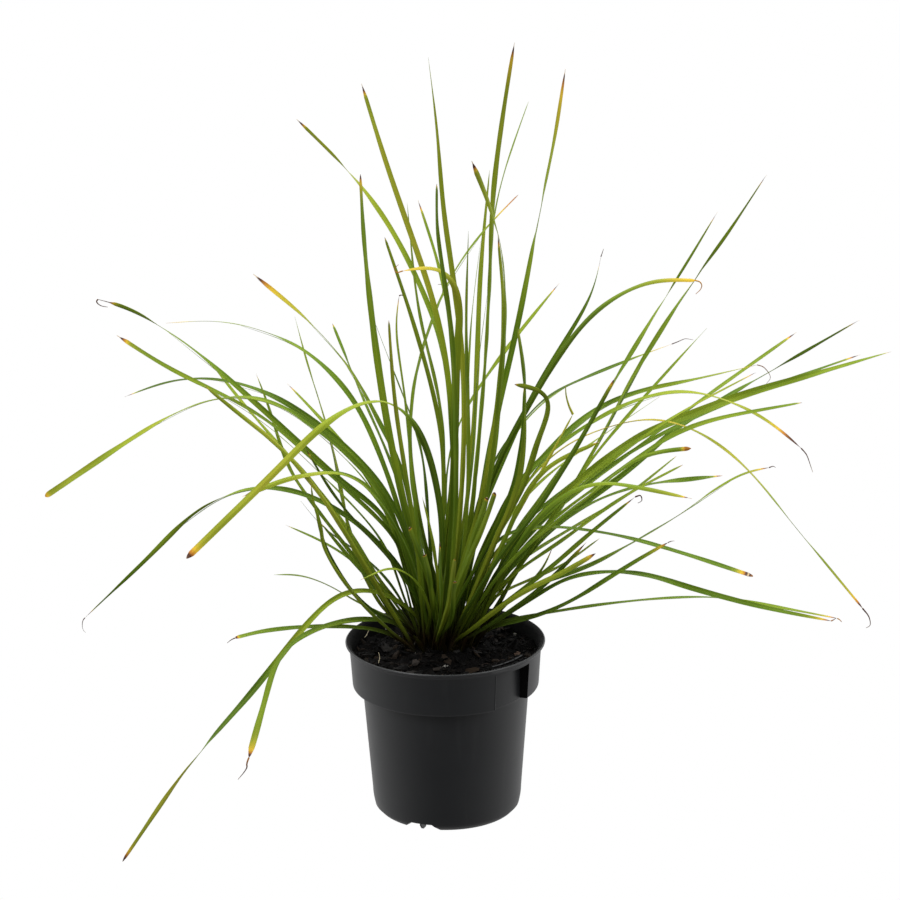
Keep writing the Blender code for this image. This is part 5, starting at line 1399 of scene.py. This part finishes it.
def blade_frames(course, shares, look, dice):
    """For each point of a course: the directions across the blade and out of its upper face.

    A blade that runs level turns its upper face to the front; an upright one turns either way.
    """
    ahead = unit(np.gradient(course, axis=0))
    reach = course[-1] - course[0]
    flat = unit(np.array([-reach[1], reach[0], 0.0]))
    natural = unit(flat - ahead * (ahead @ flat)[:, None])
    facing = unit(np.cross(ahead, np.array(EYE) - course))
    half = len(course) // 2
    level = float(facing[half:, 2].mean())
    if float(natural[half] @ facing[half]) < 0.0:
        facing = -facing
    lean = np.arctan2(np.sum(np.cross(facing, natural) * ahead, axis=1), np.sum(facing * natural, axis=1))
    lean = np.unwrap(lean)
    wander = dice.uniform(*WANDERS) * np.sin(
        shares * dice.uniform(*WANDER_WAVES) + dice.uniform(*WAVE_STARTS))
    wander *= np.clip(shares / WANDER_START, 0.0, 1.0)
    if look.seen is None:
        angles = lean * (LEAN_KEPT - LEAN_LOST * shares) + wander
    else:
        sign = 1.0 if dice.random() < 0.5 else -1.0
        if abs(level) > LEVEL_ENOUGH:
            sign = math.copysign(1.0, level)
        blend = np.clip(shares / TURN_START, 0.0, 1.0)
        turned = turns_seen(look, shares, sign) * blend
        angles = lean * FOOT_LEAN * (1.0 - blend) + turned + WANDER_KEPT * wander
    across = turned_about(facing, ahead, angles)
    out = np.cross(across, ahead)
    inward = CROWN_MIDDLE - course[2][:2]
    inward = np.append(inward, INWARD_LIFT * np.linalg.norm(inward))
    if float(out[2] @ inward) < 0.0:
        return -across, -out
    return across, out


def blade_widths(run, end, point, taper):
    """A blade's width along its length, as shares of its full width: a broad foot and a tapered tip."""
    shares = run / run[-1]
    neck = NECK_WIDTH + NECK_GAIN * np.clip(shares / NECK_END, 0.0, 1.0)
    foot = FOOT_GAIN * np.exp(-((shares / FOOT_END) ** 2))
    fall = np.clip((shares - FALL_START) / FALL_LENGTH, 0.0, 1.0) ** FALL_CURVE
    left = (run[-1] - run) / MM
    rise = np.clip((left - point) / taper, 0.0, 1.0) ** POINT_CURVE
    narrow = POINT_WIDTH
    if point >= LEAST_POINT:
        narrow = POINT_WIDTH * (POINT_END + (1.0 - POINT_END) * np.clip(left / point, 0.0, 1.0))
    return (neck + foot) * (1.0 - fall * (1.0 - end)) * (narrow + (1.0 - narrow) * rise)


def with_end_rings(course):
    """A course with a few more points close to its tip, for the shape of its end."""
    last = course[-2]
    extra = [last + (course[-1] - last) * share for share in END_RING_SHARES]
    return np.vstack([course[:-1], extra, course[-1:]])


def between(steps, places):
    """A value at each place, read between (place, value) steps; one number holds everywhere."""
    if isinstance(steps, float):
        return np.full(len(places), steps)
    return np.interp(places, *zip(*steps))


def blade_course(middles, rings):
    """A blade's course from its foot below the crown to its tip."""
    inner = CROWN_MIDDLE + ROOT_GATHER * (middles[0][:2] - CROWN_MIDDLE)
    foot = np.append(inner, CROWN_HEIGHT - ROOT_DEPTH)
    course = smooth_course(np.vstack([foot, middles]), rings)
    return with_end_rings(eased(course, LEAF_EASE if rings == LEAF_RINGS else SHOOT_EASE))


def blade_ring(full, middle, side, face, half, fold, ripple):
    """The points round a blade at one place: its upper face, then its lower face back again."""
    bow = np.sqrt(SECTION ** 2 + BOW_ROUNDING) - math.sqrt(BOW_ROUNDING)
    flat = SECTION * half * math.cos(fold)
    lift = bow * half * math.sin(fold) + ripple * half * SECTION
    thick = EDGE_THICKNESS + (RIB_THICKNESS - EDGE_THICKNESS) * np.exp(-((SECTION / RIB_REACH) ** 2))
    kept = LEAST_THICKNESS + (1.0 - LEAST_THICKNESS) * half / (THINNING_WIDTH * full)
    thick = thick * min(1.0, kept)
    across = middle + np.outer(flat, side)
    upper = across + np.outer(lift + 0.5 * thick, face)
    lower = across + np.outer(lift - 0.5 * thick, face)
    return np.vstack([upper, lower[::-1]])


def blade_quads(first, rings):
    """The faces of a blade whose rings of points start at an index, with both of its ends."""
    count = len(SECTION)
    ring = 2 * count
    base = np.arange(rings - 1)[:, None] * ring + first
    here = np.arange(ring)[None, :]
    beside = (here + 1) % ring
    quads = np.stack([base + here, base + beside, base + beside + ring, base + here + ring], axis=2)
    ends = []
    for start, flip in ((first, True), (first + (rings - 1) * ring, False)):
        for k in range(count - 1):
            quad = [start + k, start + k + 1, start + ring - 2 - k, start + ring - 1 - k]
            ends.append(quad[::-1] if flip else quad)
    return np.vstack([quads.reshape(-1, 4), ends])


def gather(parts, points, quads, grain, **values):
    """Add points and faces, with what the leaf material reads at each point."""
    parts["count"] += len(points)
    parts["points"].append(points)
    parts["quads"].append(quads)
    parts["grain"].append(grain)
    for name in LEAF_VALUES:
        parts[name].append(np.broadcast_to(values[name], len(points)))


def add_blade(parts, look, middles, width, rings, dice):
    """Add one leaf blade, from below the crown to its tip, with what its material reads."""
    course = blade_course(middles, rings)
    run = run_along(course)
    shares = run / run[-1]
    across, out = blade_frames(course, shares, look, dice)
    full = width * WIDTH_GAIN * look.gain
    (point, taper), *stages = TIPS[look.tip]
    halves = 0.5 * full * blade_widths(run, look.end, point, taper)
    tones = between(look.tone, shares)
    ages = between(stages, (run[-1] - run) / MM)
    folds = np.radians(between(FOLDS, shares))
    if look.seen is not None:
        twist = np.exp(-((between(look.seen, shares) / TWIST_REACH) ** 2))
        halves = halves * (1.0 - TWIST_CLOSING * twist)
        folds = folds * (1.0 - TWIST_FLATTENING * twist)
    ripple = RIPPLE * np.sin(run * dice.uniform(*RIPPLE_WAVES) + dice.uniform(*WAVE_STARTS))
    mark = dice.uniform(0.0, GRAIN_SHIFT)
    rows = [blade_ring(full, *place) for place in zip(course, across, out, halves, folds, ripple)]
    ring = 2 * len(SECTION)
    side = np.tile(np.concatenate([SECTION, SECTION[::-1]]), len(course))
    brown = SHEATH_LEAST + SHEATH_MORE * dice.random()
    base = np.clip(1.0 - (run - ROOT_DEPTH) / brown, 0.0, 1.0) ** SHEATH_CURVE
    gather(parts, np.vstack(rows), blade_quads(parts["count"], len(course)),
           np.stack([side * 0.5 * full, np.repeat(run, ring), np.full(len(side), mark)], axis=1),
           side=side, back=np.tile(np.repeat((0.0, 1.0), len(SECTION)), len(course)),
           age=np.repeat(ages, ring), base=np.repeat(base, ring), tone=np.repeat(tones, ring))
    if look.thread is not None:
        add_thread(parts, look.thread, course[-1], mark, tones[-1])


def add_thread(parts, thread, tip, mark, tone):
    """Add a thin strip that goes on from a leaf's tip."""
    start = seen_from_front(tip)
    shift = [start[k] - thread.path[0][k] for k in range(2)]
    spots = [np.array(place_seen(u + shift[0], v + shift[1], tip[1])) for u, v in thread.path]
    points = []
    faces = []
    tube(points, faces, smooth_course(np.array(spots), THREAD_STEPS),
         tapered(thread.radius * MM, 1.0, 0.65, THREAD_STEPS), THREAD_SIDES)
    ages = np.repeat(np.linspace(*thread.ages, THREAD_STEPS + 1), THREAD_SIDES)
    # The thread's grain carries a run of 0.3 m, so the painted shade at the leaves' feet does not darken
    # it.
    gather(parts, np.array(points), np.array(faces) + parts["count"],
           np.tile(np.array([0.0, 0.3, mark]), (len(points), 1)),
           side=0.5, back=0.0, age=ages, base=0.0, tone=tone)


def new_parts():
    """The empty lists that blades are gathered in."""
    parts = {key: [] for key in ("points", "quads", "grain", *LEAF_VALUES)}
    parts["count"] = 0
    return parts


def blades_object(name, parts, material):
    """One object from gathered blades, with the values that the leaf material reads."""
    mesh = bpy.data.meshes.new(name)
    points = np.vstack(parts["points"])
    mesh.from_pydata(points.tolist(), [], np.vstack(parts["quads"]).tolist())
    for key in LEAF_VALUES:
        carry(mesh, key, np.concatenate(parts[key]))
    carry(mesh, "grain", np.vstack(parts["grain"]), "FLOAT_VECTOR")
    mesh.shade_smooth()
    mesh.set_sharp_from_angle(angle=math.radians(50.0))
    return link(name, mesh, material)


def leaf_piece(node, name, material, order):
    """All the blades of one node as one piece."""
    dice = random.Random(LEAF_SEED + order)
    parts = new_parts()
    rings = LEAF_RINGS if node.startswith("leaf") else SHOOT_RINGS
    for middles, width in leaf_courses(node):
        add_blade(parts, look_of(node, middles, dice), middles, width, rings, dice)
    piece = blades_object(name, parts, material)
    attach(piece, "root")
    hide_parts(node)
    return piece


def build_dry_bases():
    """Short remains of old leaves round the crown's foot."""
    dice = random.Random(DRY_BASE_SEED)
    parts = new_parts()
    for index in range(DRY_BASE_COUNT):
        turn = 2.0 * math.pi * (index + dice.uniform(-DRY_BASE_SWAY, DRY_BASE_SWAY)) / DRY_BASE_COUNT
        way = np.array((math.cos(turn), math.sin(turn)))
        foot = CROWN_MIDDLE + way * dice.uniform(*DRY_BASE_CIRCLE)
        length = dice.uniform(*DRY_BASE_LENGTHS)
        lean = dice.uniform(*DRY_BASE_LEANS)
        middles = []
        for step in range(DRY_BASE_STEPS + 1):
            share = step / DRY_BASE_STEPS
            level = foot + way * length * share * (0.35 + lean * share * 0.5)
            height = CROWN_HEIGHT + length * share * (1.0 - 0.35 * lean * share)
            middles.append((level[0], level[1], height))
        width = dice.uniform(*DRY_BASE_WIDTHS)
        add_blade(parts, DRY_BASE, np.array(middles), width, DRY_BASE_RINGS, dice)
    bases = blades_object("dry_leaf_bases", parts, bpy.data.materials["olive_tissue"])
    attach(bases, "root")


def build_leaves():
    """Every leaf and shoot of the tuft."""
    green = leaf_material("green_tissue", (1.0, 1.0, 1.0))
    olive = leaf_material("olive_tissue", (1.04, 1.0, 1.0))
    slots = {row["node"]: row["material_slot"] for row in frame["record"]["subparts"]}
    names = sorted(node for node in frame["nodes"] if node.startswith(("leaf", "shoot")))
    for order, node in enumerate(names):
        slot = slots[node]
        material = olive if slot == "leaf_olive" else green
        name = node.replace("leaf", "strap_leaf").replace("shoot", "leaf_fan")
        piece = leaf_piece(node, name, material, order)
    build_dry_bases()


def add_light(name, place, target, size, power):
    """A square soft light aimed at a point."""
    data = bpy.data.lights.new(name, "AREA")
    data.shape = "SQUARE"
    data.size = size
    data.energy = power
    light = bpy.data.objects.new(name, data)
    bpy.context.scene.collection.objects.link(light)
    light.location = place
    way = Vector(target) - Vector(place)
    light.rotation_euler = way.to_track_quat("-Z", "Y").to_euler()


def spread_range(tree, value, low, high, low_share, high_share):
    """A value taken evenly from one range to another."""
    node = add_node(tree, "ShaderNodeMapRange", in_1=low, in_2=high, in_3=low_share, in_4=high_share)
    tree.links.new(value, node.inputs[0])
    return node.outputs[0]


def build_floor():
    """A plain white floor, which lets the sweep's light through from below."""
    corners = ((-1.0, -1.0), (1.0, -1.0), (1.0, 1.0), (-1.0, 1.0))
    points = [(x * FLOOR_REACH, y * FLOOR_REACH, FLOOR_LEVEL) for x, y in corners]
    material = bpy.data.materials.new("pale_floor")
    material.use_nodes = True
    tree = material.node_tree
    tree.nodes.clear()
    clear = add_node(tree, "ShaderNodeBsdfTransparent")
    white = add_node(tree, "ShaderNodeEmission", in_Strength=1.0)
    both = add_node(tree, "ShaderNodeMixShader")
    tree.links.new(add_node(tree, "ShaderNodeLightPath").outputs["Is Camera Ray"], both.inputs[0])
    tree.links.new(clear.outputs[0], both.inputs[1])
    tree.links.new(white.outputs[0], both.inputs[2])
    tree.links.new(both.outputs[0], add_node(tree, "ShaderNodeOutputMaterial").inputs["Surface"])
    link("floor", mesh_from("floor", points, [(0, 1, 2, 3)]), material)


def build_world():
    """A white sweep that lights from behind, above and both sides, and little from the front."""
    world = bpy.data.worlds.new("studio")
    bpy.context.scene.world = world
    world.use_nodes = True
    tree = world.node_tree
    way = add_node(tree, "ShaderNodeSeparateXYZ")
    tree.links.new(add_node(tree, "ShaderNodeTexCoord").outputs["Generated"], way.inputs[0])
    front = spread_range(tree, way.outputs["Y"], -1.0, 0.1, FRONT_LIGHT, SIDE_LIGHT)
    below = spread_range(tree, way.outputs["Z"], -0.7, 0.1, LOW_SHARE, 1.0)
    above = spread_range(tree, way.outputs["Z"], 0.2, 1.0, 0.0, TOP_LIGHT)
    lit = plus(tree, times(tree, front, below), above)
    seen = add_node(tree, "ShaderNodeLightPath").outputs["Is Camera Ray"]
    unseen = calculate(tree, "SUBTRACT", 1.0, seen)
    dome = tree.nodes["Background"]
    dome.inputs["Color"].default_value = (1.0, 1.0, 1.0, 1.0)
    tree.links.new(plus(tree, seen, times(tree, lit, unseen)), dome.inputs["Strength"])


def build_lights():
    """The white sweep with broad soft lights from the upper left, the right and above."""
    build_world()
    for light in LIGHTS:
        add_light(*light)


def build_camera():
    """The photo's camera."""
    data = bpy.data.cameras.new("camera")
    data.lens = LENS
    data.sensor_width = SENSOR
    data.clip_start = 0.05
    data.clip_end = 60.0
    camera = bpy.data.objects.new("camera", data)
    bpy.context.scene.collection.objects.link(camera)
    ahead = Vector((0.0, math.cos(CAMERA_PITCH), -math.sin(CAMERA_PITCH)))
    turn = ahead.to_track_quat("-Z", "Y").to_matrix()
    right = turn @ Vector((1.0, 0.0, 0.0))
    up = turn @ Vector((0.0, 1.0, 0.0))
    rolled_up = up * math.cos(CAMERA_ROLL) + right * math.sin(CAMERA_ROLL)
    rolled_right = right * math.cos(CAMERA_ROLL) - up * math.sin(CAMERA_ROLL)
    turn.col[0] = rolled_right
    turn.col[1] = rolled_up
    camera.rotation_euler = turn.to_euler()
    camera.location = EYE
    bpy.context.scene.camera = camera


bpy.context.scene.view_settings.view_transform = "Standard"
build_pot()
build_pocket_edge()
build_soil()
build_chips()
build_fibres()
build_crumbs()
build_leaves()
build_floor()
build_lights()
build_camera()
